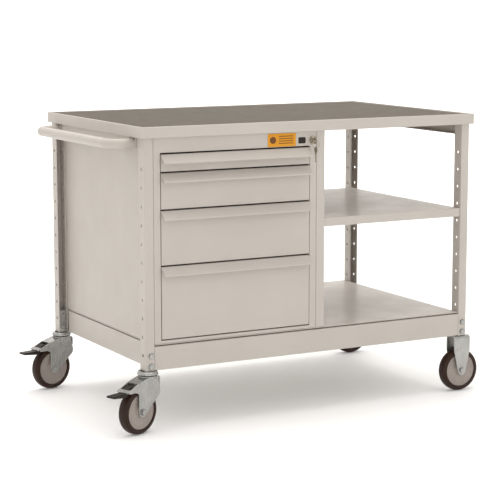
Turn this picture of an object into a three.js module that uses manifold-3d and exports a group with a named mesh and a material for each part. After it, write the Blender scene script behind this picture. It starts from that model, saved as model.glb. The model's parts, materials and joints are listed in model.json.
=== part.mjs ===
// A mobile workbench: a worktop with an inlaid mat on four perforated channel uprights, a locked
// cabinet of four drawers on the left, an open bay with a shelf on the right, a push handle on the
// left end, two braked swivel casters on the left and two fixed casters on the right.
// Millimetres, +Z up. X runs along the front from left to right, Y from the front to the back.
import * as THREE from 'three';
import { mergeVertices } from 'three/addons/utils/BufferGeometryUtils.js';
import Module from 'manifold-3d';

const wasm = await Module();
wasm.setup();

// ---------------------------------------------------------------- driving dimensions
const BENCH_HEIGHT = 820;         // floor to the worktop's rim
const FRAME_LENGTH = 1040;        // over the uprights
const FRAME_DEPTH = 640;          // over the uprights
const WORKTOP_OVERHANG = 10;
const WORKTOP_THICKNESS = 30;
const GAP = 0.3;                  // between neighbouring pieces
const SHEET = 1.5;                // cabinet and drawer sheet
const FRAME_SHEET = 2;            // uprights, rails and tray

const CHANNEL_WEB = 27;           // upright, seen from the front
const CHANNEL_LEG = 35;           // upright, seen from the side
const HOLE_PITCH = 50;
const HOLE_RADIUS = 4.3;
const HOLE_SIDES = 6;
const HOLE_SETBACK = 18;          // from the channel's web face
const FIRST_HOLE_Z = 208;
const HOLES_PER_LEG = 11;

const BASE_Z = 167;
const BASE_HEIGHT = 65;
const BASE_RAIL_DEPTH = 40;
const DECK_THICKNESS = 6;

const CABINET_RIGHT = 525;
const STILE = 22;                 // cabinet face beside the drawers
const CABINET_FACE_Y = 1;
const DRAWER_HEIGHTS = [50, 100, 150, 200];   // from the top down
const DRAWER_STACK_TOP = 748;
const DRAWER_GAP = 3;
const DRAWER_DEPTH = 560;
const GRIP_REACH = 20;
const GRIP_DROP = 21;
const GRIP_HEM = 3;               // upright edge at the foot of the grip

const SHELF_TOP_Z = 546;
const SHELF_THICKNESS = 25;
const SHELF_BACK_Y = 600;

const WHEEL_RADIUS = 62.5;
const WHEEL_WIDTH = 31;
const WHEEL_SIDES = 28;
const FORK_PLATE = 3;
const FORK_GAP = 36;              // between the fork's cheeks
const SWIVEL_TRAIL = 40;
const SWIVEL_FORK_TOP = 152;
const SWIVEL_TURN = { front: 21, back: 13 };  // degrees that the two swivel forks stand turned

// worked out from the above
const WORKTOP_BOTTOM = BENCH_HEIGHT - WORKTOP_THICKNESS;
const BASE_TOP = BASE_Z + BASE_HEIGHT;
const DECK_BOTTOM = BASE_TOP + GAP;
const DECK_TOP = DECK_BOTTOM + DECK_THICKNESS;
const CABINET_BOTTOM = DECK_TOP + GAP;
const CABINET_TOP = WORKTOP_BOTTOM - GAP;
const CABINET_LEFT = CHANNEL_WEB + GAP;
const CABINET_BACK = FRAME_DEPTH - 3;
const OPENING_LEFT = CHANNEL_WEB + STILE;
const OPENING_RIGHT = CABINET_RIGHT - STILE;
const OPENING_BOTTOM = DRAWER_STACK_TOP - DRAWER_HEIGHTS.reduce((sum, height) => sum + height, 0);
const POST_LEFT = CABINET_RIGHT + GAP;
const BAY_LEFT = POST_LEFT + CHANNEL_WEB + GAP;
const BAY_RIGHT = FRAME_LENGTH - CHANNEL_WEB - GAP;
const AXLE_Z = WHEEL_RADIUS * Math.cos(Math.PI / WHEEL_SIDES);   // a flat of the tread is on the floor
const CASTER_X = CHANNEL_WEB / 2;
const CASTER_Y = CHANNEL_LEG / 2;

// ---------------------------------------------------------------- finishes
function finish(color, roughness, metalness) {
  return () => new THREE.MeshStandardMaterial({ color, roughness, metalness });
}
const lightGreyPaint = finish(0xc8c1b6, 0.55, 0.0);
const greyMat = finish(0x85827b, 0.85, 0.0);
const chipboard = finish(0xb08d62, 0.8, 0.0);
const zinc = finish(0xa8abad, 0.35, 0.9);
const brightNickel = finish(0xb9b4aa, 0.25, 1.0);
const wheelGrey = finish(0x91887f, 0.6, 0.0);
const darkRubber = finish(0x3c3230, 0.8, 0.0);
const blackPlastic = finish(0x2a2725, 0.6, 0.0);
const amberFilm = finish(0xda9b1e, 0.5, 0.0);

// ---------------------------------------------------------------- solids
function toSolid(geometry) {
  const bare = geometry.clone();
  bare.deleteAttribute('normal');
  bare.deleteAttribute('uv');
  const merged = mergeVertices(bare, 1e-4);
  const vertProperties = new Float32Array(merged.attributes.position.array);
  const triVerts = new Uint32Array(merged.index.array);
  return new wasm.Manifold(new wasm.Mesh({ numProp: 3, vertProperties, triVerts }));
}

function toGeometry(solid) {
  const mesh = solid.getMesh();
  const geometry = new THREE.BufferGeometry();
  geometry.setAttribute('position', new THREE.BufferAttribute(new Float32Array(mesh.vertProperties), 3));
  geometry.setIndex(new THREE.BufferAttribute(new Uint32Array(mesh.triVerts), 1));
  geometry.computeVertexNormals();
  return geometry;
}

function box(low, high) {
  const size = high.map((value, axis) => value - low[axis]);
  const geometry = new THREE.BoxGeometry(...size);
  geometry.translate(...low.map((value, axis) => value + size[axis] / 2));
  return geometry;
}

function boxSolid(low, high) {
  return toSolid(box(low, high));
}

function joined(solids) {
  return solids.reduce((sum, solid) => sum.add(solid));
}

function shapeOf(points) {
  return new THREE.Shape(points.map(([x, y]) => new THREE.Vector2(x, y)));
}

// A plan outline in X and Y, raised from one height to another.
function raised(points, fromZ, toZ) {
  const geometry = new THREE.ExtrudeGeometry(shapeOf(points), { depth: toZ - fromZ, bevelEnabled: false });
  geometry.translate(0, 0, fromZ);
  return geometry;
}

// A section in Y and Z, carried along X.
function alongX(points, fromX, toX) {
  const geometry = new THREE.ExtrudeGeometry(shapeOf(points), { depth: toX - fromX, bevelEnabled: false });
  const turn = new THREE.Matrix4().set(0, 0, 1, fromX, 1, 0, 0, 0, 0, 1, 0, 0, 0, 0, 0, 1);
  return geometry.applyMatrix4(turn);
}

// A section in X and Z, carried along Y.
function alongY(section, fromY, toY) {
  const outline = Array.isArray(section) ? shapeOf(section) : section;
  const geometry = new THREE.ExtrudeGeometry(outline, { depth: toY - fromY, bevelEnabled: false });
  const turn = new THREE.Matrix4().set(1, 0, 0, 0, 0, 0, -1, toY, 0, 1, 0, 0, 0, 0, 0, 1);
  return geometry.applyMatrix4(turn);
}

function rod(radius, from, to, sides) {
  const start = new THREE.Vector3(...from);
  const end = new THREE.Vector3(...to);
  const span = end.clone().sub(start);
  const geometry = new THREE.CylinderGeometry(radius, radius, span.length(), sides);
  const towards = span.clone().normalize();
  const turn = new THREE.Quaternion().setFromUnitVectors(new THREE.Vector3(0, 1, 0), towards);
  geometry.applyQuaternion(turn);
  return geometry.translate(...start.add(end).multiplyScalar(0.5).toArray());
}

// A ring section of radius and height, turned about the Z axis and closed on itself.
function turned(points, sides) {
  const profile = [...points, points[0]].map(([radius, height]) => new THREE.Vector2(radius, height));
  const geometry = new THREE.LatheGeometry(profile, sides);
  return geometry.rotateX(Math.PI / 2);
}

const bench = new THREE.Group();

function piece(name, shape, material, parent = bench) {
  const geometry = shape instanceof THREE.BufferGeometry ? shape : toGeometry(shape);
  const mesh = new THREE.Mesh(geometry, material());
  mesh.name = name;
  parent.add(mesh);
  return mesh;
}

// ---------------------------------------------------------------- uprights and posts
// A perforated channel: a web across the front or back, and two legs with holes at the pitch.
function channel(left, webY, intoBench, fromZ, toZ) {
  const y = (distance) => webY + intoBench * distance;
  const right = left + CHANNEL_WEB;
  const outline = [
    [left, y(0)], [right, y(0)], [right, y(CHANNEL_LEG)], [right - FRAME_SHEET, y(CHANNEL_LEG)],
    [right - FRAME_SHEET, y(FRAME_SHEET)], [left + FRAME_SHEET, y(FRAME_SHEET)],
    [left + FRAME_SHEET, y(CHANNEL_LEG)], [left, y(CHANNEL_LEG)],
  ];
  let solid = toSolid(raised(outline, fromZ, toZ));
  for (let index = 0; index < HOLES_PER_LEG; index += 1) {
    const z = FIRST_HOLE_Z + index * HOLE_PITCH;
    if (z - HOLE_RADIUS > fromZ) {
      const [from, to] = [[left - 1, y(HOLE_SETBACK), z], [right + 1, y(HOLE_SETBACK), z]];
      const drill = rod(HOLE_RADIUS, from, to, HOLE_SIDES);
      solid = solid.subtract(toSolid(drill));
    }
  }
  return solid;
}

const RIGHT_UPRIGHT_X = FRAME_LENGTH - CHANNEL_WEB;
piece('upright_front_left', channel(0, 0, 1, BASE_Z, CABINET_TOP), lightGreyPaint);
piece('upright_front_right', channel(RIGHT_UPRIGHT_X, 0, 1, BASE_Z, CABINET_TOP), lightGreyPaint);
piece('upright_back_left', channel(0, FRAME_DEPTH, -1, BASE_Z, CABINET_TOP), lightGreyPaint);
piece('upright_back_right', channel(RIGHT_UPRIGHT_X, FRAME_DEPTH, -1, BASE_Z, CABINET_TOP), lightGreyPaint);
piece('bay_post_front', channel(POST_LEFT, 0, 1, CABINET_BOTTOM, CABINET_TOP), lightGreyPaint);
piece('bay_post_back', channel(POST_LEFT, FRAME_DEPTH, -1, CABINET_BOTTOM, CABINET_TOP), lightGreyPaint);

// ---------------------------------------------------------------- base frame, deck and shelf
// A C section that opens towards the middle of the bench.
function railSection(faceAt, inward, bottom, height, depth) {
  const at = (distance) => faceAt + inward * distance;
  const top = bottom + height;
  return [
    [at(0), bottom], [at(depth), bottom], [at(depth), bottom + FRAME_SHEET],
    [at(FRAME_SHEET), bottom + FRAME_SHEET], [at(FRAME_SHEET), top - FRAME_SHEET],
    [at(depth), top - FRAME_SHEET], [at(depth), top], [at(0), top],
  ];
}

const RAIL_FACE_FRONT = CABINET_FACE_Y;
const RAIL_FACE_BACK = FRAME_DEPTH - CABINET_FACE_Y;
const SIDE_RAIL_FROM_Y = RAIL_FACE_FRONT + BASE_RAIL_DEPTH + GAP;
const SIDE_RAIL_TO_Y = RAIL_FACE_BACK - BASE_RAIL_DEPTH - GAP;
const frontRail = railSection(RAIL_FACE_FRONT, 1, BASE_Z, BASE_HEIGHT, BASE_RAIL_DEPTH);
const backRail = railSection(RAIL_FACE_BACK, -1, BASE_Z, BASE_HEIGHT, BASE_RAIL_DEPTH);
const leftRail = railSection(CABINET_LEFT, 1, BASE_Z, BASE_HEIGHT, BASE_RAIL_DEPTH);
const rightRail = railSection(BAY_RIGHT, -1, BASE_Z, BASE_HEIGHT, BASE_RAIL_DEPTH);
piece('base_rail_front', toSolid(alongX(frontRail, CABINET_LEFT, BAY_RIGHT)), lightGreyPaint);
piece('base_rail_back', toSolid(alongX(backRail, CABINET_LEFT, BAY_RIGHT)), lightGreyPaint);
piece('base_rail_left', toSolid(alongY(leftRail, SIDE_RAIL_FROM_Y, SIDE_RAIL_TO_Y)), lightGreyPaint);
piece('base_rail_right', toSolid(alongY(rightRail, SIDE_RAIL_FROM_Y, SIDE_RAIL_TO_Y)), lightGreyPaint);

// A folded sheet: a flat top with a lip turned down round its edge.
function foldedTray(low, high, sheet) {
  const outer = boxSolid(low, high);
  const inner = boxSolid(
    [low[0] + sheet, low[1] + sheet, low[2] - 1],
    [high[0] - sheet, high[1] - sheet, high[2] - sheet],
  );
  return outer.subtract(inner);
}

const DECK_MARGIN = 3;
piece('bottom_deck', boxSolid(
  [CABINET_LEFT + GAP, DECK_MARGIN, DECK_BOTTOM],
  [BAY_RIGHT - GAP, FRAME_DEPTH - DECK_MARGIN, DECK_TOP],
), lightGreyPaint);

const shelfBlank = foldedTray(
  [POST_LEFT, DECK_MARGIN, SHELF_TOP_Z - SHELF_THICKNESS],
  [BAY_RIGHT - GAP, SHELF_BACK_Y, SHELF_TOP_Z],
  FRAME_SHEET,
);
const postNotch = foldedTray(
  [POST_LEFT - 10, -10, SHELF_TOP_Z - SHELF_THICKNESS],
  [BAY_LEFT + FRAME_SHEET, CHANNEL_LEG + GAP + FRAME_SHEET, SHELF_TOP_Z],
  FRAME_SHEET,
).intersect(boxSolid(
  [POST_LEFT, DECK_MARGIN, SHELF_TOP_Z - SHELF_THICKNESS],
  [BAY_LEFT + FRAME_SHEET, CHANNEL_LEG + GAP + FRAME_SHEET, SHELF_TOP_Z],
));
const postRoom = boxSolid([0, -20, 0], [BAY_LEFT, CHANNEL_LEG + GAP, BENCH_HEIGHT]);
piece('mid_shelf', shelfBlank.add(postNotch).subtract(postRoom), lightGreyPaint);

// ---------------------------------------------------------------- worktop
const TRAY_RIM = 6;
const MAT_THICKNESS = 3;
const MAT_SUNK = 4;
const trayLow = [-WORKTOP_OVERHANG, -WORKTOP_OVERHANG, WORKTOP_BOTTOM];
const trayHigh = [FRAME_LENGTH + WORKTOP_OVERHANG, FRAME_DEPTH + WORKTOP_OVERHANG, BENCH_HEIGHT];
const trayRoom = boxSolid(
  [trayLow[0] + TRAY_RIM, trayLow[1] + TRAY_RIM, WORKTOP_BOTTOM + FRAME_SHEET],
  [trayHigh[0] - TRAY_RIM, trayHigh[1] - TRAY_RIM, BENCH_HEIGHT + 1],
);
piece('worktop_tray', boxSolid(trayLow, trayHigh).subtract(trayRoom), lightGreyPaint);
const inlayLow = [trayLow[0] + TRAY_RIM + GAP, trayLow[1] + TRAY_RIM + GAP];
const inlayHigh = [trayHigh[0] - TRAY_RIM - GAP, trayHigh[1] - TRAY_RIM - GAP];
const MAT_TOP = BENCH_HEIGHT - MAT_SUNK;
const MAT_BOTTOM = MAT_TOP - MAT_THICKNESS;
piece('worktop_board', boxSolid(
  [...inlayLow, WORKTOP_BOTTOM + FRAME_SHEET + GAP],
  [...inlayHigh, MAT_BOTTOM - GAP],
), chipboard);
piece('worktop_mat', boxSolid([...inlayLow, MAT_BOTTOM], [...inlayHigh, MAT_TOP]), greyMat);

// ---------------------------------------------------------------- top rails
const TOP_RAIL_HEIGHT = 31;
const TOP_RAIL_DEPTH = 22;
const TOP_RAIL_BOTTOM = CABINET_TOP - TOP_RAIL_HEIGHT;
const TOP_RAIL_FROM_Y = CHANNEL_LEG + GAP;
const TOP_RAIL_TO_Y = FRAME_DEPTH - CHANNEL_LEG - GAP;
const topRailLeft = railSection(1, 1, TOP_RAIL_BOTTOM, TOP_RAIL_HEIGHT, TOP_RAIL_DEPTH);
const topRailRight = railSection(FRAME_LENGTH - 1, -1, TOP_RAIL_BOTTOM, TOP_RAIL_HEIGHT, TOP_RAIL_DEPTH);
const topRailBack = railSection(RAIL_FACE_BACK, -1, TOP_RAIL_BOTTOM, TOP_RAIL_HEIGHT, TOP_RAIL_DEPTH);
piece('top_rail_left', toSolid(alongY(topRailLeft, TOP_RAIL_FROM_Y, TOP_RAIL_TO_Y)), lightGreyPaint);
piece('top_rail_right', toSolid(alongY(topRailRight, TOP_RAIL_FROM_Y, TOP_RAIL_TO_Y)), lightGreyPaint);
piece('top_rail_back', toSolid(alongX(topRailBack, BAY_LEFT, BAY_RIGHT)), lightGreyPaint);

// ---------------------------------------------------------------- drawer cabinet
const FACE_DEPTH = 15;            // how far the folded edge round the drawers goes in
const OPENING_PLAY = 1.5;
const faceLow = [CABINET_LEFT, CABINET_FACE_Y, CABINET_BOTTOM];
const faceHigh = [CABINET_RIGHT, CABINET_FACE_Y + SHEET, CABINET_TOP];
const openingLow = [OPENING_LEFT - OPENING_PLAY, -50, OPENING_BOTTOM - OPENING_PLAY];
const openingHigh = [OPENING_RIGHT + OPENING_PLAY, 50, DRAWER_STACK_TOP + OPENING_PLAY];
const jambBlock = boxSolid(
  [openingLow[0] - SHEET, CABINET_FACE_Y, openingLow[2] - SHEET],
  [openingHigh[0] + SHEET, CABINET_FACE_Y + FACE_DEPTH, openingHigh[2] + SHEET],
);
const LOCK_X = 512;
const LOCK_Z = 765;
const LOCK_RADIUS = 11.5;
const LOCK_BODY_RADIUS = 9.5;
const lockHole = toSolid(rod(LOCK_BODY_RADIUS + GAP, [LOCK_X, -50, LOCK_Z], [LOCK_X, 50, LOCK_Z], 20));
const cabinetFace = boxSolid(faceLow, faceHigh)
  .add(jambBlock)
  .subtract(boxSolid(openingLow, openingHigh))
  .subtract(lockHole);
piece('cabinet_face', cabinetFace, lightGreyPaint);

const SIDE_FROM_Y = faceHigh[1] + GAP;
piece('cabinet_side_left', boxSolid(
  [CABINET_LEFT, SIDE_FROM_Y, CABINET_BOTTOM],
  [CABINET_LEFT + SHEET, CABINET_BACK, CABINET_TOP],
), lightGreyPaint);
piece('cabinet_side_right', boxSolid(
  [CABINET_RIGHT - SHEET, SIDE_FROM_Y, CABINET_BOTTOM],
  [CABINET_RIGHT, CABINET_BACK, CABINET_TOP],
), lightGreyPaint);
const INSIDE_LEFT = CABINET_LEFT + SHEET + GAP;
const INSIDE_RIGHT = CABINET_RIGHT - SHEET - GAP;
piece('cabinet_back', boxSolid(
  [INSIDE_LEFT, CABINET_BACK - SHEET, CABINET_BOTTOM],
  [INSIDE_RIGHT, CABINET_BACK, CABINET_TOP],
), lightGreyPaint);
piece('cabinet_floor', boxSolid(
  [INSIDE_LEFT, SIDE_FROM_Y, CABINET_BOTTOM],
  [INSIDE_RIGHT, CABINET_BACK - SHEET - GAP, CABINET_BOTTOM + SHEET],
), lightGreyPaint);

// Each side wall carries one ladder of runners: an upright strip with a ledge under every drawer.
const LADDER_STRIP = 2;
const LADDER_STRIP_WIDTH = 30;
const LEDGE_REACH = 30;
const LEDGE_HEIGHT = 12;
const LADDER_FROM_Y = CABINET_FACE_Y + FACE_DEPTH + 2;
const LADDER_TO_Y = 590;
const drawerBottoms = DRAWER_HEIGHTS.map((height, index) => (
  DRAWER_STACK_TOP - DRAWER_HEIGHTS.slice(0, index + 1).reduce((sum, value) => sum + value, 0)
));
const RUNNER_LIFT = 6;            // runner ledge above the drawer front's lower edge
function runnerLadder(wallX, inward) {
  const span = (near, far) => [wallX + inward * near, wallX + inward * far].sort((a, b) => a - b);
  const [stripLow, stripHigh] = span(0, LADDER_STRIP);
  const strips = [LADDER_FROM_Y, LADDER_TO_Y - LADDER_STRIP_WIDTH].map((fromY) => boxSolid(
    [stripLow, fromY, CABINET_BOTTOM + SHEET + GAP],
    [stripHigh, fromY + LADDER_STRIP_WIDTH, DRAWER_STACK_TOP],
  ));
  const ledges = drawerBottoms.flatMap((bottom) => {
    const [lipLow, lipHigh] = span(0, LEDGE_REACH);
    const z = bottom + RUNNER_LIFT;
    return [
      boxSolid([lipLow, LADDER_FROM_Y, z], [lipHigh, LADDER_TO_Y, z + SHEET]),
      boxSolid([stripLow, LADDER_FROM_Y, z], [stripHigh, LADDER_TO_Y, z + LEDGE_HEIGHT]),
    ];
  });
  return joined([...strips, ...ledges]);
}
piece('runner_ladder_left', runnerLadder(INSIDE_LEFT, 1), zinc);
piece('runner_ladder_right', runnerLadder(INSIDE_RIGHT, -1), zinc);

// ---------------------------------------------------------------- drawers
// The front is a shallow pan with a slanted grip along its top edge. The box is an open tray.
const WELD_OVERLAP = 0.5;         // how far welded sheets run into each other
const GRIP_CHEEK_ROOT = 8;        // height of the grip's end cheek where it meets the pan
function drawerFront(bottom, top) {
  const low = [OPENING_LEFT, 0, bottom];
  const high = [OPENING_RIGHT, FACE_DEPTH, top];
  const pocket = boxSolid(
    [low[0] + SHEET, SHEET, low[2] + SHEET],
    [high[0] - SHEET, FACE_DEPTH + 1, high[2] - SHEET],
  );
  const pan = boxSolid(low, high).subtract(pocket);
  const gripFoot = top - GRIP_DROP - GRIP_HEM;
  const lip = [
    [WELD_OVERLAP, top], [-GRIP_REACH, top - GRIP_DROP], [-GRIP_REACH, gripFoot],
    [-GRIP_REACH + SHEET, gripFoot], [-GRIP_REACH + SHEET, top - GRIP_DROP - 0.5],
    [WELD_OVERLAP, top - 2.2],
  ];
  const cheek = [
    [WELD_OVERLAP, top], [-GRIP_REACH, top - GRIP_DROP], [-GRIP_REACH, gripFoot],
    [WELD_OVERLAP, top - GRIP_CHEEK_ROOT],
  ];
  return joined([
    pan,
    toSolid(alongX(lip, low[0], high[0])),
    toSolid(alongX(cheek, low[0], low[0] + SHEET)),
    toSolid(alongX(cheek, high[0] - SHEET, high[0])),
  ]);
}

const SLIDE_RAIL_REACH = 12;
const SLIDE_RAIL_HEIGHT = 8;
const SLIDE_RAIL_SETBACK = 3;     // behind the box's front wall
const BOX_SIDE_PLAY = 0.5;
const BOX_LEFT = OPENING_LEFT + BOX_SIDE_PLAY + SLIDE_RAIL_REACH;
const BOX_RIGHT = OPENING_RIGHT - BOX_SIDE_PLAY - SLIDE_RAIL_REACH;
const BOX_FROM_Y = FACE_DEPTH + GAP;
const BOX_TO_Y = BOX_FROM_Y + DRAWER_DEPTH;
const BOX_BELOW_FRONT_TOP = 6;
const BOX_MAX_HEIGHT = 170;
function drawerBox(bottom, top) {
  const floorZ = bottom + RUNNER_LIFT;
  const wallTop = Math.min(top - BOX_BELOW_FRONT_TOP, floorZ + BOX_MAX_HEIGHT);
  const outer = boxSolid([BOX_LEFT, BOX_FROM_Y, floorZ], [BOX_RIGHT, BOX_TO_Y, wallTop]);
  const inner = boxSolid(
    [BOX_LEFT + SHEET, BOX_FROM_Y + SHEET, floorZ + SHEET],
    [BOX_RIGHT - SHEET, BOX_TO_Y - SHEET, wallTop + 1],
  );
  const railZ = floorZ + SHEET + GAP;
  const railSides = [
    [BOX_LEFT - SLIDE_RAIL_REACH, BOX_LEFT + WELD_OVERLAP],
    [BOX_RIGHT - WELD_OVERLAP, BOX_RIGHT + SLIDE_RAIL_REACH],
  ];
  const rails = railSides.map(([fromX, toX]) => boxSolid(
    [fromX, BOX_FROM_Y + SLIDE_RAIL_SETBACK, railZ],
    [toX, BOX_TO_Y, railZ + SLIDE_RAIL_HEIGHT],
  ));
  return joined([outer.subtract(inner), ...rails]);
}

drawerBottoms.forEach((stackBottom, index) => {
  const bottom = stackBottom + DRAWER_GAP / 2;
  const top = stackBottom + DRAWER_HEIGHTS[index] - DRAWER_GAP / 2;
  piece(`drawer_front_${index + 1}`, drawerFront(bottom, top), lightGreyPaint);
  piece(`drawer_box_${index + 1}`, drawerBox(stackBottom, top), lightGreyPaint);
});

// ---------------------------------------------------------------- lock, keys and label
const LOCK_FACE_Y = CABINET_FACE_Y - GAP;
const LOCK_RIM = 3;
const LOCK_CASE_BACK_Y = 22;
const BARREL_RADIUS = 6;
const BARREL_BACK_Y = 16;
const KEY_SLOT = { halfWidth: 1, halfHeight: 3.8, depth: 14 };
function lockRod(radius, fromY, toY, sides) {
  return toSolid(rod(radius, [LOCK_X, fromY, LOCK_Z], [LOCK_X, toY, LOCK_Z], sides));
}
const lockCase = joined([
  lockRod(LOCK_RADIUS, LOCK_FACE_Y, LOCK_FACE_Y - LOCK_RIM, 24),
  lockRod(LOCK_BODY_RADIUS, LOCK_FACE_Y - 1, LOCK_CASE_BACK_Y, 20),
]).subtract(lockRod(BARREL_RADIUS + GAP, -20, BARREL_BACK_Y + 2, 20));
piece('lock_case', lockCase, brightNickel);
const barrelFrontY = LOCK_FACE_Y - LOCK_RIM - 1;
const keySlot = boxSolid(
  [LOCK_X - KEY_SLOT.halfWidth, barrelFrontY - 1, LOCK_Z - KEY_SLOT.halfHeight],
  [LOCK_X + KEY_SLOT.halfWidth, barrelFrontY + KEY_SLOT.depth, LOCK_Z + KEY_SLOT.halfHeight],
);
const barrel = lockRod(BARREL_RADIUS, barrelFrontY, BARREL_BACK_Y, 20).subtract(keySlot);
piece('lock_barrel', barrel, brightNickel);

// A key stands in the plane of its slot. Its blade is along Y, its round bow in front.
const KEY_THICKNESS = 1.4;
const BOW_HOLE_OUT = 1.45;        // bow hole's centre from the shoulder, in bow radii
const BOW_HOLE_SIZE = 0.28;       // bow hole's radius, in bow radii
function keyOutline(bowRadius, bladeLength, bladeWidth) {
  const shape = new THREE.Shape();
  const half = bladeWidth / 2;
  const shoulder = Math.asin(half / bowRadius);
  shape.moveTo(bladeLength, -half);
  shape.lineTo(bladeLength, half);
  shape.lineTo(-bowRadius + bowRadius * Math.cos(shoulder), half);
  shape.absarc(-bowRadius, 0, bowRadius, shoulder, 2 * Math.PI - shoulder, false);
  const hole = new THREE.Path();
  hole.absarc(-bowRadius * BOW_HOLE_OUT, 0, bowRadius * BOW_HOLE_SIZE, 0, 2 * Math.PI, true);
  shape.holes.push(hole);
  return shape;
}
function flatKey(bowRadius, bladeLength, bladeWidth) {
  const outline = keyOutline(bowRadius, bladeLength, bladeWidth);
  const geometry = new THREE.ExtrudeGeometry(outline, {
    depth: KEY_THICKNESS, bevelEnabled: false, curveSegments: 10,
  });
  return geometry.translate(0, 0, -KEY_THICKNESS / 2);
}
const KEY_BOW = 9.5;
const KEY_BLADE = 12;
const KEY_BLADE_WIDTH = 6.4;
const KEY_BOW_Y = barrelFrontY - 1.5;
const lockKey = flatKey(KEY_BOW, KEY_BLADE, KEY_BLADE_WIDTH);
const intoLock = new THREE.Matrix4().set(
  0, 0, 1, LOCK_X, 1, 0, 0, KEY_BOW_Y, 0, 1, 0, LOCK_Z, 0, 0, 0, 1,
);
lockKey.applyMatrix4(intoLock);
piece('lock_key', toSolid(lockKey), brightNickel);

// The spare key hangs on a ring through the hole in the bow of the key in the lock.
const RING_RADIUS = 11;
const RING_WIRE = 0.9;
const BOW_HOLE_Y = KEY_BOW_Y - KEY_BOW * BOW_HOLE_OUT;
const ringCentreZ = LOCK_Z - RING_RADIUS;
const ring = new THREE.TorusGeometry(RING_RADIUS, RING_WIRE, 6, 24);
ring.rotateX(Math.PI / 2);
ring.translate(LOCK_X, BOW_HOLE_Y, ringCentreZ);
piece('key_ring', toSolid(ring), brightNickel);
const SPARE_BOW = 8.5;
const SPARE_BLADE = 26;
const SPARE_BLADE_WIDTH = 6;
const spare = flatKey(SPARE_BOW, SPARE_BLADE, SPARE_BLADE_WIDTH);
const spareHoleDrop = -SPARE_BOW * BOW_HOLE_OUT;
const spareHoleZ = ringCentreZ - RING_RADIUS;
spare.applyMatrix4(new THREE.Matrix4().set(
  0, 0, 1, LOCK_X, 0, 1, 0, BOW_HOLE_Y, -1, 0, 0, 0, 0, 0, 0, 1,
).premultiply(new THREE.Matrix4().makeTranslation(0, 0, spareHoleZ + spareHoleDrop)));
piece('spare_key', toSolid(spare), brightNickel);

const LABEL = { left: 371, right: 459, bottom: 751, top: 787, thickness: 0.5 };
piece('label_plate', boxSolid(
  [LABEL.left, LOCK_FACE_Y - LABEL.thickness, LABEL.bottom],
  [LABEL.right, LOCK_FACE_Y, LABEL.top],
), amberFilm);

// ---------------------------------------------------------------- push handle
const HANDLE_RADIUS = 14;
const HANDLE_Z = 772;
const HANDLE_REACH = 66;
const HANDLE_FRONT_Y = 65;
const HANDLE_BACK_Y = 584;
const HANDLE_BEND = 45;
const HANDLE_ROOT_X = -1;
const outerX = -HANDLE_REACH;
const bentX = outerX + HANDLE_BEND;
const at = (x, y) => new THREE.Vector3(x, y, HANDLE_Z);
const straight = (from, to) => new THREE.LineCurve3(from, to);
const elbow = (from, corner, to) => new THREE.QuadraticBezierCurve3(from, corner, to);
const gripFrom = at(outerX, HANDLE_FRONT_Y + HANDLE_BEND);
const gripTo = at(outerX, HANDLE_BACK_Y - HANDLE_BEND);
const handlePath = new THREE.CurvePath();
handlePath.add(straight(at(HANDLE_ROOT_X, HANDLE_FRONT_Y), at(bentX, HANDLE_FRONT_Y)));
handlePath.add(elbow(at(bentX, HANDLE_FRONT_Y), at(outerX, HANDLE_FRONT_Y), gripFrom));
handlePath.add(straight(gripFrom, gripTo));
handlePath.add(elbow(gripTo, at(outerX, HANDLE_BACK_Y), at(bentX, HANDLE_BACK_Y)));
handlePath.add(straight(at(bentX, HANDLE_BACK_Y), at(HANDLE_ROOT_X, HANDLE_BACK_Y)));
const tubeSection = new THREE.Shape();
tubeSection.absarc(0, 0, HANDLE_RADIUS, 0, 2 * Math.PI, false);
const tube = toSolid(new THREE.ExtrudeGeometry(tubeSection, {
  steps: 44, curveSegments: 6, extrudePath: handlePath,
}));
const FLANGE = { halfLength: 19, bottom: TOP_RAIL_BOTTOM + 1, top: CABINET_TOP - 1, thickness: 3 };
const flanges = [HANDLE_FRONT_Y, HANDLE_BACK_Y].map((y) => boxSolid(
  [1 - GAP - FLANGE.thickness, y - FLANGE.halfLength, FLANGE.bottom],
  [1 - GAP, y + FLANGE.halfLength, FLANGE.top],
));
piece('push_handle', joined([tube, ...flanges]), lightGreyPaint);

// ---------------------------------------------------------------- casters
// Each caster is built with its swivel axis on the group's Z axis and its wheel trailing towards -X.
const TREAD_HALF = WHEEL_WIDTH / 2;
const HUB_RADIUS = 47.7;
const BOLT_RADIUS = 5.9;
const BOLT_HOLE = 6.3;
const BOLT_HEAD = { radius: 9, height: 6 };
function tyreShape() {
  return turned([
    [HUB_RADIUS + GAP, -TREAD_HALF + 2], [WHEEL_RADIUS - 3.5, -TREAD_HALF],
    [WHEEL_RADIUS, -TREAD_HALF + 5], [WHEEL_RADIUS, TREAD_HALF - 5],
    [WHEEL_RADIUS - 3.5, TREAD_HALF], [HUB_RADIUS + GAP, TREAD_HALF - 2],
  ], WHEEL_SIDES);
}
// The hub has a boss at the axle, a sunk disc and a raised rim under the tyre.
const BOSS_RADIUS = 15;
const DISC_SUNK = 3;
const RIM_SUNK = 1;
function hubShape() {
  const side = (sign) => [
    [BOLT_HOLE, sign * (TREAD_HALF + 1)], [BOSS_RADIUS, sign * (TREAD_HALF + 1)],
    [BOSS_RADIUS + 1, sign * (TREAD_HALF - DISC_SUNK)], [HUB_RADIUS - 3.7, sign * (TREAD_HALF - DISC_SUNK)],
    [HUB_RADIUS, sign * (TREAD_HALF - RIM_SUNK)],
  ];
  return turned([...side(-1), ...side(1).reverse()], WHEEL_SIDES);
}

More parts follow.
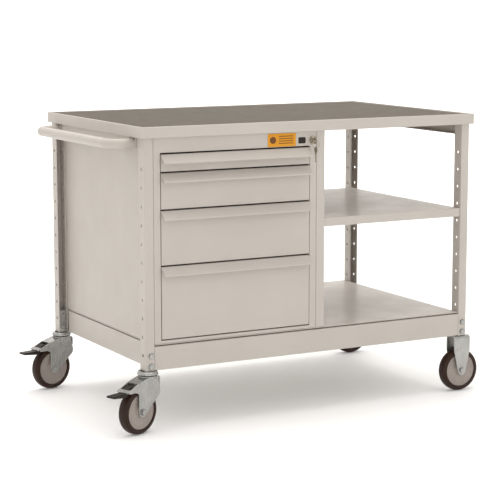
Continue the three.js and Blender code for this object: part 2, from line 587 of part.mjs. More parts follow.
// A swivel fork's cheek has a horn that reaches over the wheel and carries the brake.
const FORK_HALF_TOP = 28;
const FORK_TIP_RADIUS = 14;
const FORK_TAPER_FROM = 104;      // height where the cheek starts to narrow towards the axle
const HORN_END_X = -92;
const CROWN_BOTTOM = 138;
const halfFork = FORK_GAP / 2 + FORK_PLATE;
function forkOutline(axleX, topZ, hasHorn) {
  const shape = new THREE.Shape();
  shape.moveTo(FORK_HALF_TOP, topZ);
  if (hasHorn) {
    shape.lineTo(-22, topZ);
    shape.lineTo(-60, 141);
    shape.lineTo(HORN_END_X, 127);
    shape.lineTo(HORN_END_X, 118);
    shape.lineTo(-66, 118);
    shape.lineTo(axleX - FORK_TIP_RADIUS, 114);
  } else {
    shape.lineTo(-FORK_HALF_TOP, topZ);
    shape.lineTo(-FORK_HALF_TOP, FORK_TAPER_FROM + 14);
  }
  shape.lineTo(axleX - FORK_TIP_RADIUS, AXLE_Z);
  shape.absarc(axleX, AXLE_Z, FORK_TIP_RADIUS, Math.PI, 2 * Math.PI, false);
  shape.lineTo(FORK_HALF_TOP, hasHorn ? FORK_TAPER_FROM : FORK_TAPER_FROM + 14);
  return shape;
}
function forkSolid(axleX, topZ, crownBottom, hasHorn) {
  const wheelRoom = boxSolid([-200, -FORK_GAP / 2, -10], [200, FORK_GAP / 2, crownBottom]);
  return toSolid(alongY(forkOutline(axleX, topZ, hasHorn), -halfFork, halfFork))
    .subtract(wheelRoom)
    .subtract(toSolid(rod(BOLT_HOLE, [axleX, -60, AXLE_Z], [axleX, 60, AXLE_Z], 16)));
}
function axleBolt(axleX) {
  const reach = halfFork + GAP;
  const shank = reach + 1;
  const head = (from, to) => toSolid(rod(BOLT_HEAD.radius, [axleX, from, AXLE_Z], [axleX, to, AXLE_Z], 6));
  return joined([
    toSolid(rod(BOLT_RADIUS, [axleX, -shank, AXLE_Z], [axleX, shank, AXLE_Z], 16)),
    head(-reach - BOLT_HEAD.height, -reach),
    head(reach, reach + BOLT_HEAD.height),
  ]);
}

// The stem goes up into the upright. A swivel caster has the ring of its ball race under the upright.
const STEM = { halfX: 11, halfY: 14.5, height: 45 };
const COLLAR_RADIUS = 25;
const RACE = { radius: 28.5, bottom: SWIVEL_FORK_TOP + 2.5, neckRadius: 26, neckHeight: 4 };
function stemSolid() {
  return boxSolid([-STEM.halfX, -STEM.halfY, BASE_Z - 1], [STEM.halfX, STEM.halfY, BASE_Z + STEM.height]);
}
function swivelMount() {
  const neckBottom = BASE_Z - RACE.neckHeight;
  return joined([
    toSolid(rod(RACE.radius, [0, 0, RACE.bottom], [0, 0, neckBottom], 28)),
    toSolid(rod(RACE.neckRadius, [0, 0, neckBottom - WELD_OVERLAP], [0, 0, BASE_Z - GAP], 24)),
    stemSolid(),
  ]);
}

// The pedal lies between the horn's ends and turns about a pin near its inner end.
const PEDAL_HALF_WIDTH = 13;
const PEDAL = [
  [-63, 136], [-72, 136.4], [-95, 125.5], [-101, 121.5], [-143, 121], [-146, 117.5], [-140, 114],
  [-106, 110.5], [-94, 109.5], [-74, 120.5], [-63, 127],
];

function caster(end, side, x, y, turnDegrees) {
  const swivels = side === 'left';
  const place = `${end}_${side}`;
  const fixedPart = new THREE.Group();
  fixedPart.position.set(x, y, 0);
  bench.add(fixedPart);
  const turningPart = new THREE.Group();
  turningPart.position.set(x, y, 0);
  turningPart.rotation.z = THREE.MathUtils.degToRad(turnDegrees);
  bench.add(turningPart);
  const axleX = swivels ? -SWIVEL_TRAIL : 0;

  if (swivels) {
    const collar = rod(COLLAR_RADIUS, [0, 0, SWIVEL_FORK_TOP - 8], [0, 0, RACE.bottom - GAP], 24);
    const fork = forkSolid(axleX, SWIVEL_FORK_TOP, CROWN_BOTTOM, true).add(toSolid(collar));
    piece(`caster_mount_${place}`, swivelMount(), zinc, fixedPart);
    piece(`fork_${place}`, fork, zinc, turningPart);
    const pedal = alongY(PEDAL, -PEDAL_HALF_WIDTH, PEDAL_HALF_WIDTH);
    piece(`brake_pedal_${place}`, toSolid(pedal), blackPlastic, turningPart);
  } else {
    const plateTop = BASE_Z - GAP;
    const fork = forkSolid(axleX, plateTop, plateTop - FORK_PLATE, false).add(stemSolid());
    piece(`fork_${place}`, fork, zinc, fixedPart);
  }

  const upright = new THREE.Matrix4().makeRotationX(Math.PI / 2);
  const flatDown = new THREE.Matrix4().makeRotationZ(Math.PI / WHEEL_SIDES);
  const toAxle = new THREE.Matrix4().makeTranslation(axleX, 0, AXLE_Z);
  const wheelPlace = toAxle.multiply(upright).multiply(flatDown);
  piece(`tyre_${place}`, toSolid(tyreShape()), darkRubber, turningPart).applyMatrix4(wheelPlace);
  piece(`wheel_hub_${place}`, toSolid(hubShape()), wheelGrey, turningPart).applyMatrix4(wheelPlace);
  piece(`axle_${place}`, axleBolt(axleX), zinc, turningPart);
}

const RIGHT_CASTER_X = FRAME_LENGTH - CASTER_X;
const BACK_CASTER_Y = FRAME_DEPTH - CASTER_Y;
caster('front', 'left', CASTER_X, CASTER_Y, SWIVEL_TURN.front);
caster('back', 'left', CASTER_X, BACK_CASTER_Y, SWIVEL_TURN.back);
caster('front', 'right', RIGHT_CASTER_X, CASTER_Y, 0);
caster('back', 'right', RIGHT_CASTER_X, BACK_CASTER_Y, 0);

// ---------------------------------------------------------------- origin
// The origin is on the floor under the middle of the bench's overall box.
const extent = new THREE.Box3().setFromObject(bench, true);
const middle = extent.getCenter(new THREE.Vector3());
bench.position.set(-middle.x, -middle.y, -extent.min.z);

export default bench;
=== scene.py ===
# %% [markdown]
# A mobile workbench: sheet-steel frame and drawer cabinet, inlaid mat, push handle, four casters.
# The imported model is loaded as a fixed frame. Every finished surface below takes its size from a
# node of that frame, so nothing has to be fitted by eye.

import json
import math

import bpy
import numpy as np
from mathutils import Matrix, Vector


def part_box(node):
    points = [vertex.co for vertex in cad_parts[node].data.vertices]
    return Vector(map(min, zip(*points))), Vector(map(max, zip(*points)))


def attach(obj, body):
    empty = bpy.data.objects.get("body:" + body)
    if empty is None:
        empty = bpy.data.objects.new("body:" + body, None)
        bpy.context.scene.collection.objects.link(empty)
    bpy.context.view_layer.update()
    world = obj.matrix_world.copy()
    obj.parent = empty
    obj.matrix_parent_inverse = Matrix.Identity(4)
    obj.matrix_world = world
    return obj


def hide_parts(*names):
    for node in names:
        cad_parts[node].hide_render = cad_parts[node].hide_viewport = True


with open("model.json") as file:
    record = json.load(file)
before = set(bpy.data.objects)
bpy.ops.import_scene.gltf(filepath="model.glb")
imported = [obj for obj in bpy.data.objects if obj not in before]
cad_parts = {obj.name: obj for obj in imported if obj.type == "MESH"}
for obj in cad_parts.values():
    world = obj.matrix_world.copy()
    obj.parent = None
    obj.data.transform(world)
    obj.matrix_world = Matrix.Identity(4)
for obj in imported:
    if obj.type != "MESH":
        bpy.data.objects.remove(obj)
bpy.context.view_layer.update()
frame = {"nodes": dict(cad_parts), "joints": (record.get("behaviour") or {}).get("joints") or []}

# %% [markdown]
# Lengths below are millimetres from the outer corner of the front left upright, on the floor: a
# maker measures a bench from there. One function turns them into the frame's metres.

# %% Measure from the front left upright
corner_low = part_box("upright_front_left")[0]
CORNER = np.array([corner_low.x, corner_low.y, 0.0])
MM = 0.001


def span(node):
    """The lowest and highest corners of a node, in millimetres from the measuring corner."""
    low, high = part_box(node)
    return (np.array(low) - CORNER) / MM, (np.array(high) - CORNER) / MM


FRAME_LOW, FRAME_HIGH = span("upright_front_left")[0], span("upright_back_right")[1]
print("frame, mm:", np.round(FRAME_HIGH - FRAME_LOW, 1))

# %% [markdown]
# The camera stands to the left of the bench and a little above it, with a long lens, so that the
# ends hardly taper. It is set first, because the looks are judged from there.

# %% Camera
CAMERA_FROM_CORNER = (-1884.0, -4048.0, 1174.5)
CAMERA_YAW = math.radians(28.52)
CAMERA_PITCH = math.radians(8.66)
CAMERA_LENS = 123.1

camera_data = bpy.data.cameras.new("camera")
camera_data.lens = CAMERA_LENS
camera_data.clip_end = 60
camera = bpy.data.objects.new("camera", camera_data)
camera.location = CORNER + np.array(CAMERA_FROM_CORNER) * MM
camera.rotation_euler = (math.pi / 2 - CAMERA_PITCH, 0, -CAMERA_YAW)
bpy.context.scene.collection.objects.link(camera)
bpy.context.scene.camera = camera
print("camera at", [round(v, 2) for v in camera.location])

# %% [markdown]
# Every shape here is a stack of closed outlines, joined ring to ring into a skin and capped at both
# ends, or joined back to the first ring. A skin like that is always watertight, and one volume test
# tells whether it has to be turned so that its faces look outwards.

# %% Rings into skins
AXES = {"x": (2, 0, 1), "y": (0, 2, 1), "z": (0, 1, 2)}


def lay(outline, depth, axis):
    """A flat outline placed across an axis, at a depth along it."""
    flat = np.column_stack([outline, np.full(len(outline), depth)])
    return flat[:, AXES[axis]]


def loft(rings, closed=False):
    """Quads between neighbouring rings: point j of ring i joins points j and j + 1 of ring i + 1."""
    rings = np.asarray(rings, float)
    count, around = rings.shape[:2]
    i, j = np.meshgrid(np.arange(count if closed else count - 1), np.arange(around), indexing="ij")
    after, beside = (i + 1) % count, (j + 1) % around
    quads = np.stack([i * around + j, i * around + beside, after * around + beside, after * around + j], -1)
    ends = [] if closed else [np.arange(around)[::-1], (count - 1) * around + np.arange(around)]
    return rings.reshape(-1, 3), quads.reshape(-1, 4), ends


unit_square = np.array([[0, 0], [1, 0], [1, 1], [0, 1]])
block = loft([lay(unit_square, 0, "z"), lay(unit_square, 1, "z")])
print("a square lofted once:", len(block[0]), "points,", len(block[1]), "sides,", len(block[2]), "caps")

# %% [markdown]
# Some pieces are several closed skins in one mesh, such as a bolt's head and its washer. They may
# cross each other as long as each is closed and looks outwards. Which way a skin looks is found from
# its volume: it comes out negative when the faces look inwards, and then every face is turned round.

# %% Skins together and outwards
def together(*shapes):
    """Several skins in one mesh, each still closed by itself."""
    points, quads, caps, start = [], [], [], 0
    for shape_points, shape_quads, shape_caps in shapes:
        points.append(shape_points)
        quads.append(shape_quads + start)
        caps += [cap + start for cap in shape_caps]
        start += len(shape_points)
    return np.concatenate(points), np.concatenate(quads), caps


def outward(shape):
    """The skin with its faces turned outwards: the volume under its faces has to be positive."""
    points, quads, caps = shape
    corners = [points[quads[:, [0, 1, 2]]], points[quads[:, [0, 2, 3]]]]
    for cap in caps:
        fan = np.stack([np.full(len(cap) - 2, cap[0]), cap[1:-1], cap[2:]], 1)
        corners.append(points[fan])
    a, b, c = np.moveaxis(np.concatenate(corners) - points.mean(0), 1, 0)
    if np.einsum("ij,ij->", a, np.cross(b, c)) < 0:
        return points, quads[:, ::-1], [cap[::-1] for cap in caps]
    return shape


print("two blocks together:", len(together(outward(block), outward(block))[1]), "sides")

# %% [markdown]
# A skin becomes a piece of the bench when it is given a finish and a body to ride on. The mesh holds
# the piece's place and the object stays at the origin, as the frame's own nodes do. Where a piece
# stands for a node of the frame, that node is hidden but still carries the collisions.

# %% Skins into pieces
piece_count = {"made": 0, "faces": 0}


def piece(name, shape, body, finish, stands_for=(), smooth_below=38, sheet=0.0):
    """A skin as an object that rides on a body, in a finish, in place of the nodes it stands for. A
    sheet thickness is added by Solidify. Weighted normals keep the flat faces flat beside round edges."""
    points, quads, caps = shape
    mesh = bpy.data.meshes.new(name)
    faces = quads.tolist() + [cap.tolist() for cap in caps]
    mesh.from_pydata((CORNER + points * MM).tolist(), [], faces)
    mesh.validate()
    mesh.shade_smooth()
    mesh.set_sharp_from_angle(angle=math.radians(smooth_below))
    made = bpy.data.objects.new(name, mesh)
    bpy.context.scene.collection.objects.link(made)
    mesh.materials.append(finish["material"])
    if sheet:
        thick = made.modifiers.new("sheet", "SOLIDIFY")
        thick.thickness, thick.offset, thick.use_even_offset = sheet * MM, 1.0, True
    flat = made.modifiers.new("flat_faces", "WEIGHTED_NORMAL")
    flat.keep_sharp, flat.weight = True, 60
    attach(made, body)
    if stands_for:
        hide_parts(*stands_for)
    piece_count["made"] += 1
    piece_count["faces"] += len(mesh.polygons)


print("ready to make pieces:", piece_count)

# %% [markdown]
# Sheet metal has no knife edges: every cut edge is a little round and every fold has a radius. Both
# matter, because a round edge is what catches the light. So an outline is given by its corners, and
# each corner becomes an arc.

# %% Corners into arcs
def filleted(points, radius, steps=5, closed=True):
    """Straight runs joined by arcs. A corner's arc starts radius x tan(half the turn) before it, and
    runs at that radius about a centre on the corner's bisector."""
    points = np.asarray(points, float)
    radii = np.broadcast_to(np.asarray(radius, float), len(points))
    ends = [] if closed else [0, len(points) - 1]
    run = []
    for index, here in enumerate(points):
        if index in ends or radii[index] == 0:
            run.append(here[None])
            continue
        back = points[index - 1] - here
        ahead = points[(index + 1) % len(points)] - here
        back, ahead = back / np.linalg.norm(back), ahead / np.linalg.norm(ahead)
        half = 0.5 * math.acos(float(np.clip(back @ ahead, -1, 1)))
        bisector = (back + ahead) / np.linalg.norm(back + ahead)
        centre = here + bisector * radii[index] / math.sin(half)
        start = here + back * radii[index] / math.tan(half) - centre
        end = here + ahead * radii[index] / math.tan(half) - centre
        angle = math.acos(float(np.clip(start @ end / radii[index] ** 2, -1, 1)))
        t = np.linspace(0, 1, steps + 1)[:, None]
        run.append(centre + (np.sin((1 - t) * angle) * start + np.sin(t * angle) * end) / math.sin(angle))
    return np.concatenate(run)


print("points in a filleted square:", len(filleted([(0, 0), (10, 0), (10, 10), (0, 10)], 2)))

# %% [markdown]
# The other outlines are a round-cornered rectangle, a circle, and an outline moved inwards. The last
# one makes the round edge of a plate: the outline draws in a little as it comes to each face.

# %% Rectangles, circles and drawn-in outlines
def rectangle(low, high, radius=1.0, steps=4):
    """A rectangle with quarter-round corners."""
    corners = [[low[0], low[1]], [high[0], low[1]], [high[0], high[1]], [low[0], high[1]]]
    return filleted(corners, radius, steps)


def drawn_in(outline, amount):
    """The outline moved inwards. Each corner slides along its two edges' summed normals, by
    amount / cos(half the turn), and a very sharp corner slides no more than three amounts."""
    ahead = np.roll(outline, -1, 0) - outline
    ahead = ahead / np.linalg.norm(ahead, axis=1)[:, None]
    normal = np.column_stack([-ahead[:, 1], ahead[:, 0]])
    before = np.roll(normal, 1, 0)
    x, y = outline.T
    area = 0.5 * np.sum(x * np.roll(y, -1) - np.roll(x, -1) * y)
    slide = (normal + before) / np.maximum(1 + np.sum(normal * before, 1), 0.35)[:, None]
    return outline + math.copysign(amount, area) * slide


def circle(radius, sides=48, centre=(0.0, 0.0)):
    """Points on a circle, anticlockwise."""
    t = np.arange(sides) * 2 * np.pi / sides
    return np.array(centre) + radius * np.column_stack([np.cos(t), np.sin(t)])


print("points in a round-cornered rectangle:", len(rectangle((0, 0), (10, 10))))

# %% [markdown]
# Nearly everything on a sheet-metal bench is one of five shapes: a plate with a thickness, a tray
# with a turned-up wall, a folded section, a bent tube, or a turned part. One function makes each, so
# a piece further down is only its outline and its place. Plates and trays come first.

# %% Plates and trays
def plate(outline, axis, from_, to, edge=0.5, steps=3):
    """An outline carried along an axis. Over the quarter-round edge it is drawn in by
    edge x (1 - cos t), while the depth moves by edge x (1 - sin t)."""
    t = np.linspace(np.pi / 2, 0, steps)
    inset = [drawn_in(outline, edge * (1 - math.cos(a))) for a in t]
    depth = [edge * (1 - math.sin(a)) for a in t]
    near = [lay(ring, from_ + d, axis) for ring, d in zip(inset, depth)]
    far = [lay(ring, to - d, axis) for ring, d in zip(inset, depth)]
    return loft(near + far[::-1])


def slab(low, high, axis, corner=1.5, edge=0.6):
    """A flat plate between two corners, with round corners across the axis and round edges."""
    u, v, w = [AXES[axis].index(k) for k in range(3)]
    outline = rectangle((low[u], low[v]), (high[u], high[v]), corner)
    return plate(outline, axis, low[w], high[w], edge)


def tray(low, high, axis, profile, corner=2.0):
    """Rounded rectangles stacked along an axis. Each (inset, depth) of the profile is one ring, and
    the corner radius shrinks by the inset, so a wall keeps its thickness round the corners."""
    u, v = [AXES[axis].index(k) for k in range(2)]
    rings = []
    for inset, depth in profile:
        ring_low = (low[u] + inset, low[v] + inset)
        ring_high = (high[u] - inset, high[v] - inset)
        rings.append(lay(rectangle(ring_low, ring_high, max(corner - inset, 0.4)), depth, axis))
    return loft(rings)


print("faces of a slab:", len(slab((0, 0, 0), (20, 20, 2), "z")[1]))

# %% [markdown]
# A folded section is drawn by its outer face alone, and the sheet's thickness gives the inner one. A
# bent tube is a circle carried along a path. A turned part is a profile swept round an axis.

# %% Folded, carried and turned shapes
def folded(points, thickness, bend):
    """The section of a folded sheet. The line of its outer face is filleted at each fold, and the
    inner face is the same line moved sideways by the thickness along its normals."""
    outer = filleted(points, bend, 5, closed=False)
    step = np.gradient(outer, axis=0)
    step = step / np.linalg.norm(step, axis=1)[:, None]
    inner = outer + thickness * np.column_stack([-step[:, 1], step[:, 0]])
    return np.concatenate([outer, inner[::-1]])


def carried(section, path, up=(0, 0, 1)):
    """A section carried along a path. At each point it stands across the path's direction, with its
    first axis sideways and its second along up."""
    path = np.asarray(path, float)
    ahead = np.gradient(path, axis=0)
    ahead = ahead / np.linalg.norm(ahead, axis=1)[:, None]
    side = np.cross(ahead, np.asarray(up, float))
    side = side / np.linalg.norm(side, axis=1)[:, None]
    over = np.cross(side, ahead)
    return loft(path[:, None] + section[None, :, :1] * side[:, None] + section[None, :, 1:] * over[:, None])


def turned(profile, centre=(0, 0, 0), about="z", sides=56, closed=True):
    """A profile of (radius, height) turned about an axis: x = r cos t, y = r sin t."""
    t = np.arange(sides) * 2 * np.pi / sides
    profile = np.asarray(profile, float)
    ring = np.stack([
        profile[:, :1] * np.cos(t), profile[:, :1] * np.sin(t), np.repeat(profile[:, 1:], sides, 1),
    ], -1)
    points, quads, caps = loft(ring, closed)
    return points[:, AXES[about]] + np.array(centre), quads, caps


print("faces of a washer:", len(turned([(4, 0), (9, 0), (9, 1), (4, 1)])[1]))

# %% [markdown]
# The finishes come next. Powder coat is not one flat colour: it has a faint orange-peel skin, a tone
# that drifts over a panel, and handling marks. All patterns read Object coordinates, which are the
# frame's own metres, so they keep their scale on every piece.

# %% Start a material
def start_material(name, color, roughness, metallic=0.0):
    """A material with the shader's constant values set on its own sockets."""
    material = bpy.data.materials.new(name)
    material.use_nodes = True
    tree = material.node_tree
    shader = tree.nodes["Principled BSDF"]
    shader.inputs["Base Color"].default_value = (*color, 1)
    shader.inputs["Roughness"].default_value = roughness
    shader.inputs["Metallic"].default_value = metallic
    return material, tree, shader


def finish_of(slot, material):
    """A finish: its material, and the record's slot that it fills."""
    return {"material": material, "slot": slot}


print("materials so far:", len(bpy.data.materials))

# %% [markdown]
# A pattern is a texture node on the piece's own coordinates. Its value is stretched to the range that
# is wanted, and then mixes two colours, sets the roughness, or raises a bump.

# %% Patterns, ranges, mixes and bumps
def pattern(tree, kind, scale, stretch=(1, 1, 1), **settings):
    """A texture node of that scale on Object coordinates."""
    coordinates = tree.nodes.new("ShaderNodeTexCoord")
    mapping = tree.nodes.new("ShaderNodeMapping")
    mapping.inputs["Scale"].default_value = stretch
    texture = tree.nodes.new(kind)
    texture.inputs["Scale"].default_value = scale
    for key, value in settings.items():
        texture.inputs[key].default_value = value
    tree.links.new(coordinates.outputs["Object"], mapping.inputs["Vector"])
    tree.links.new(mapping.outputs["Vector"], texture.inputs["Vector"])
    return texture


def between(tree, value, low, high, from_low=0.3, from_high=0.7):
    """A value stretched from one range to another, held inside the new one."""
    node = tree.nodes.new("ShaderNodeMapRange")
    tree.links.new(value, node.inputs["Value"])
    node.inputs["From Min"].default_value = from_low
    node.inputs["From Max"].default_value = from_high
    node.inputs["To Min"].default_value = low
    node.inputs["To Max"].default_value = high
    return node.outputs["Result"]


def blended(tree, factor, first, second):
    """Two colours, or a socket and a colour, mixed by a value."""
    node = tree.nodes.new("ShaderNodeMix")
    node.data_type = "RGBA"
    tree.links.new(factor, node.inputs["Factor"])
    for socket, color in ((node.inputs[6], first), (node.inputs[7], second)):
        if isinstance(color, tuple):
            socket.default_value = (*color, 1)
        else:
            tree.links.new(color, socket)
    return node.outputs[2]


def bump(tree, shader, height, strength, distance):
    """A bump from a height value."""
    node = tree.nodes.new("ShaderNodeBump")
    node.inputs["Strength"].default_value = strength
    node.inputs["Distance"].default_value = distance
    tree.links.new(height, node.inputs["Height"])
    tree.links.new(node.outputs["Normal"], shader.inputs["Normal"])


print("a pattern, a range, a mix and a bump are ready to join")

# %% [markdown]
# Powder coat is sprayed on as dust and melted in an oven. It flows out almost flat, but not quite:
# close up it has an orange-peel skin, its gloss wanders, and a panel's tone drifts a little. Rubbing
# leaves faint darker scuffs. Four noises at four scales make those four things.

# %% Powder coat
def powder_coat(name, color, marked, peel=0.35):
    """Light paint on steel: drifting tone, faint scuffs, and an orange-peel skin."""
    material, tree, shader = start_material(name, color, 0.5)
    shader.inputs["Coat Weight"].default_value = 0.14
    shader.inputs["Coat Roughness"].default_value = 0.20
    drift = pattern(tree, "ShaderNodeTexNoise", 3.5, Detail=3.0)
    tone = blended(tree, between(tree, drift.outputs["Fac"], 0, 1), color, marked)
    scuff = pattern(tree, "ShaderNodeTexNoise", 46, (1, 1, 5), Detail=6.0, Roughness=0.72)
    dirt = tuple(0.72 * c for c in marked)
    tone = blended(tree, between(tree, scuff.outputs["Fac"], 0, 0.22, 0.66, 0.8), tone, dirt)
    tree.links.new(tone, shader.inputs["Base Color"])
    gloss = pattern(tree, "ShaderNodeTexNoise", 14, Detail=4.0)
    tree.links.new(between(tree, gloss.outputs["Fac"], 0.42, 0.58), shader.inputs["Roughness"])
    skin = pattern(tree, "ShaderNodeTexNoise", 620, Detail=1.5)
    bump(tree, shader, skin.outputs["Fac"], peel, 0.00012)
    return material


PAINT = finish_of("light_grey_paint", powder_coat(
    "light_grey_powder_coat", (0.492, 0.454, 0.412), (0.464, 0.427, 0.386)))
print("paint:", PAINT["material"].name)

# %% [markdown]
# Zinc plate shows the grain of the rolled sheet and a cloudy tone where the bath has dulled it. The
# lock and keys are nickel, a warmer grey. Both are one kind of finish with other colours.

# %% Zinc and nickel
def plated(name, color, clouded, roughness, grain):
    """Bright plated metal: cloudy tone, rolled grain, and a roughness that varies with the grain."""
    material, tree, shader = start_material(name, color, roughness, 0.85)
    cloud = pattern(tree, "ShaderNodeTexNoise", 38, Detail=4.0)
    tone = blended(tree, between(tree, cloud.outputs["Fac"], 0, 1), color, clouded)
    tree.links.new(tone, shader.inputs["Base Color"])
    rolled = pattern(tree, "ShaderNodeTexNoise", 260, grain, Detail=3.0)
    tree.links.new(between(tree, rolled.outputs["Fac"], roughness - 0.05, roughness + 0.10),
                   shader.inputs["Roughness"])
    bump(tree, shader, rolled.outputs["Fac"], 0.05, 0.00005)
    return material


ZINC = finish_of("zinc_plate", plated(
    "zinc_plate", (0.402, 0.399, 0.382), (0.330, 0.328, 0.318), 0.25, (1, 1, 0.12)))
NICKEL = finish_of("nickel", plated(
    "nickel_plate", (0.47, 0.42, 0.35), (0.37, 0.33, 0.27), 0.24, (0.3, 1, 1)))
print("plated:", ZINC["material"].name, NICKEL["material"].name)

# %% [markdown]
# The tyres are dark rubber on moulded grey centres, the pedals are black plastic, and the mat is
# rubber with a pebbled face. Moulded stuff takes its skin from the mould, so one finish makes them
# all: two close tones, a gloss that wears unevenly, and a grain of small cells. The label's film and
# the edge of the chipboard are near enough to be made in the same way.

# %% Rubber, plastic and mat
def moulded(name, color, second, roughness, grain_scale, grain_depth, shine=0.5):
    """Moulded rubber or plastic: two close tones, uneven gloss and a fine grain."""
    material, tree, shader = start_material(name, color, roughness)
    mottled = pattern(tree, "ShaderNodeTexNoise", 30, Detail=5.0)
    tone = blended(tree, between(tree, mottled.outputs["Fac"], 0, 1), color, second)
    tree.links.new(tone, shader.inputs["Base Color"])
    worn = pattern(tree, "ShaderNodeTexNoise", 90, Detail=4.0)
    tree.links.new(between(tree, worn.outputs["Fac"], roughness - 0.1, roughness + 0.1),
                   shader.inputs["Roughness"])
    grain = pattern(tree, "ShaderNodeTexVoronoi", grain_scale)
    bump(tree, shader, grain.outputs["Distance"], 0.5, grain_depth)
    shader.inputs["Specular IOR Level"].default_value = shine
    return material


MAT = finish_of("mat", moulded(
    "bench_mat", (0.136, 0.121, 0.100), (0.118, 0.105, 0.087), 0.88, 520, 0.00025, 0.12))
TYRE = finish_of("tyre", moulded(
    "tyre_rubber", (0.036, 0.016, 0.011), (0.025, 0.012, 0.008), 0.5, 900, 0.00008, 0.2))
WHEEL = finish_of("wheel_centre", moulded(
    "wheel_centre", (0.320, 0.275, 0.245), (0.275, 0.236, 0.212), 0.45, 1200, 0.00005))
PEDAL = finish_of("pedal_plastic", moulded(
    "pedal_plastic", (0.024, 0.017, 0.012), (0.015, 0.011, 0.008), 0.5, 1400, 0.00006, 0.25))
LABEL = finish_of("amber_label", moulded(
    "amber_film", (0.68, 0.29, 0.010), (0.62, 0.26, 0.009), 0.42, 700, 0.00003, 0.3))
INK = finish_of("amber_label", moulded(
    "label_ink", (0.16, 0.055, 0.012), (0.13, 0.045, 0.010), 0.5, 900, 0.00002, 0.3))
CHIPBOARD = finish_of("board", moulded(
    "chipboard", (0.42, 0.27, 0.14), (0.30, 0.18, 0.09), 0.8, 300, 0.0004))
print("finishes:", len(bpy.data.materials))

# %% [markdown]
# The frame's uprights are perforated channels. The real one is punched flat and then folded, so it
# is made that way here. First comes the flat blank, a grid in which each hole replaces a block of
# cells by rings that lead from the block's square edge to the hole's circle.

# %% Punched blank
HOLE_PITCH, FIRST_HOLE_Z, HOLE_RADIUS, HOLE_SETBACK = 50.0, 208.0, 4.3, 18.0
HOLES_IN_A_POST = 11
HOLE_HALO = 1.45                  # a ring round each hole, in hole radii, that keeps its faces even
FRAME_SHEET = 2.0
FOLD_RADIUS = 2.6
CELL = 9.0                        # height of a grid cell beside a hole
CELL_NARROWING = 0.8              # its width, in heights


def punched_blank(columns, rows, holes, hole_columns):
    """A grid with round holes. Each hole takes out a block of 4 by 4 cells, and rings lead from the
    block's 16 edge points to 16 points on the hole's circle."""
    s, z = np.meshgrid(columns, rows)
    points = np.column_stack([s.ravel(), z.ravel()])
    wide = len(columns)
    i, j = np.meshgrid(np.arange(len(rows) - 1), np.arange(wide - 1), indexing="ij")
    keep = np.ones(i.shape, bool)
    rim = [(0, k) for k in range(4)] + [(k, 4) for k in range(4)]
    rim += [(4, 4 - k) for k in range(4)] + [(4 - k, 0) for k in range(4)]
    extra, ring_quads, start = [], [], len(points)
    for hole_z in holes:
        row = int(np.searchsorted(rows, hole_z - 2 * CELL - 0.01))
        for column in hole_columns:
            keep[row:row + 4, column:column + 4] = False
            edge = np.array([(row + r) * wide + column + c for r, c in rim])
            centre = np.array([columns[column + 2], hole_z])
            away = points[edge] - centre
            angle = np.arctan2(away[:, 1], away[:, 0])
            round_hole = centre + HOLE_RADIUS * np.column_stack([np.cos(angle), np.sin(angle)])
            halfway = centre + HOLE_HALO * HOLE_RADIUS * np.column_stack([np.cos(angle), np.sin(angle)])
            extra += [halfway, round_hole]
            rings = [edge, start + np.arange(16), start + 16 + np.arange(16)]
            for outer, inner in zip(rings, rings[1:]):
                ring_quads.append(np.stack([outer, np.roll(outer, -1), np.roll(inner, -1), inner], 1))
            start += 32
    cell = (i * wide + j)[keep]
    quads = np.stack([cell, cell + 1, cell + wide + 1, cell + wide], 1)
    points = np.concatenate([points, *extra])
    quads = np.concatenate([quads, *ring_quads])
    used, quads = np.unique(quads, return_inverse=True)
    return points[used], quads.reshape(-1, 4)


print("holes every", HOLE_PITCH, "mm,", 2 * HOLE_RADIUS, "mm across")

# %% [markdown]
# Then the blank is folded: its width is read along a line that runs down one leg, across the web and
# up the other leg, with an arc at each fold. Solidify gives the sheet its thickness, and the walls of
# the holes with it.

# %% Folded channels
def channel_piece(node, legs_point_back):
    """Folds a punched blank round three sides of the node's box, and gives it its thickness."""
    low, high = span(node)
    leg = high[1] - low[1]
    sign = 1.0 if legs_point_back else -1.0
    web_y = low[1] if legs_point_back else high[1]
    line = [(low[0], web_y + sign * leg), (low[0], web_y), (high[0], web_y), (high[0], web_y + sign * leg)]
    route = filleted(line, FOLD_RADIUS, 6, closed=False)
    along = np.concatenate([[0], np.cumsum(np.linalg.norm(np.diff(route, axis=0), axis=1))])
    total = along[-1]
    hole_s = leg - HOLE_SETBACK
    near = hole_s + CELL * np.arange(-2, 3) * CELL_NARROWING
    bends = along[(along > near[-1]) & (along < total - near[-1])]
    columns = np.concatenate([[0], near, bends, total - near[::-1], [total]])
    heights = FIRST_HOLE_Z + HOLE_PITCH * np.arange(HOLES_IN_A_POST)
    holes = [z for z in heights if z - 2 * CELL > low[2]]
    rows = np.concatenate([[low[2]], *[z + CELL * np.arange(-2, 3) for z in holes], [high[2]]])
    flat, quads = punched_blank(columns, rows, holes, [1, len(columns) - 6])
    x = np.interp(flat[:, 0], along, route[:, 0])
    y = np.interp(flat[:, 0], along, route[:, 1])
    if legs_point_back:
        quads = quads[:, ::-1]
    shape = (np.column_stack([x, y, flat[:, 1]]), quads, [])
    piece(node + "_channel", shape, "bench", PAINT, [node], sheet=FRAME_SHEET)


FRONT_CHANNELS = ["upright_front_left", "upright_front_right", "bay_post_front"]
BACK_CHANNELS = ["upright_back_left", "upright_back_right", "bay_post_back"]
for name in FRONT_CHANNELS:
    channel_piece(name, True)
for name in BACK_CHANNELS:
    channel_piece(name, False)
print("channels:", len(FRONT_CHANNELS + BACK_CHANNELS))

# %% [markdown]
# The base rails and top rails are C sections, folded from the same sheet. Their open sides face the
# middle of the bench, so only the smooth faces and the round folds show.

# %% Rails
RAIL_SHEET = 2.0


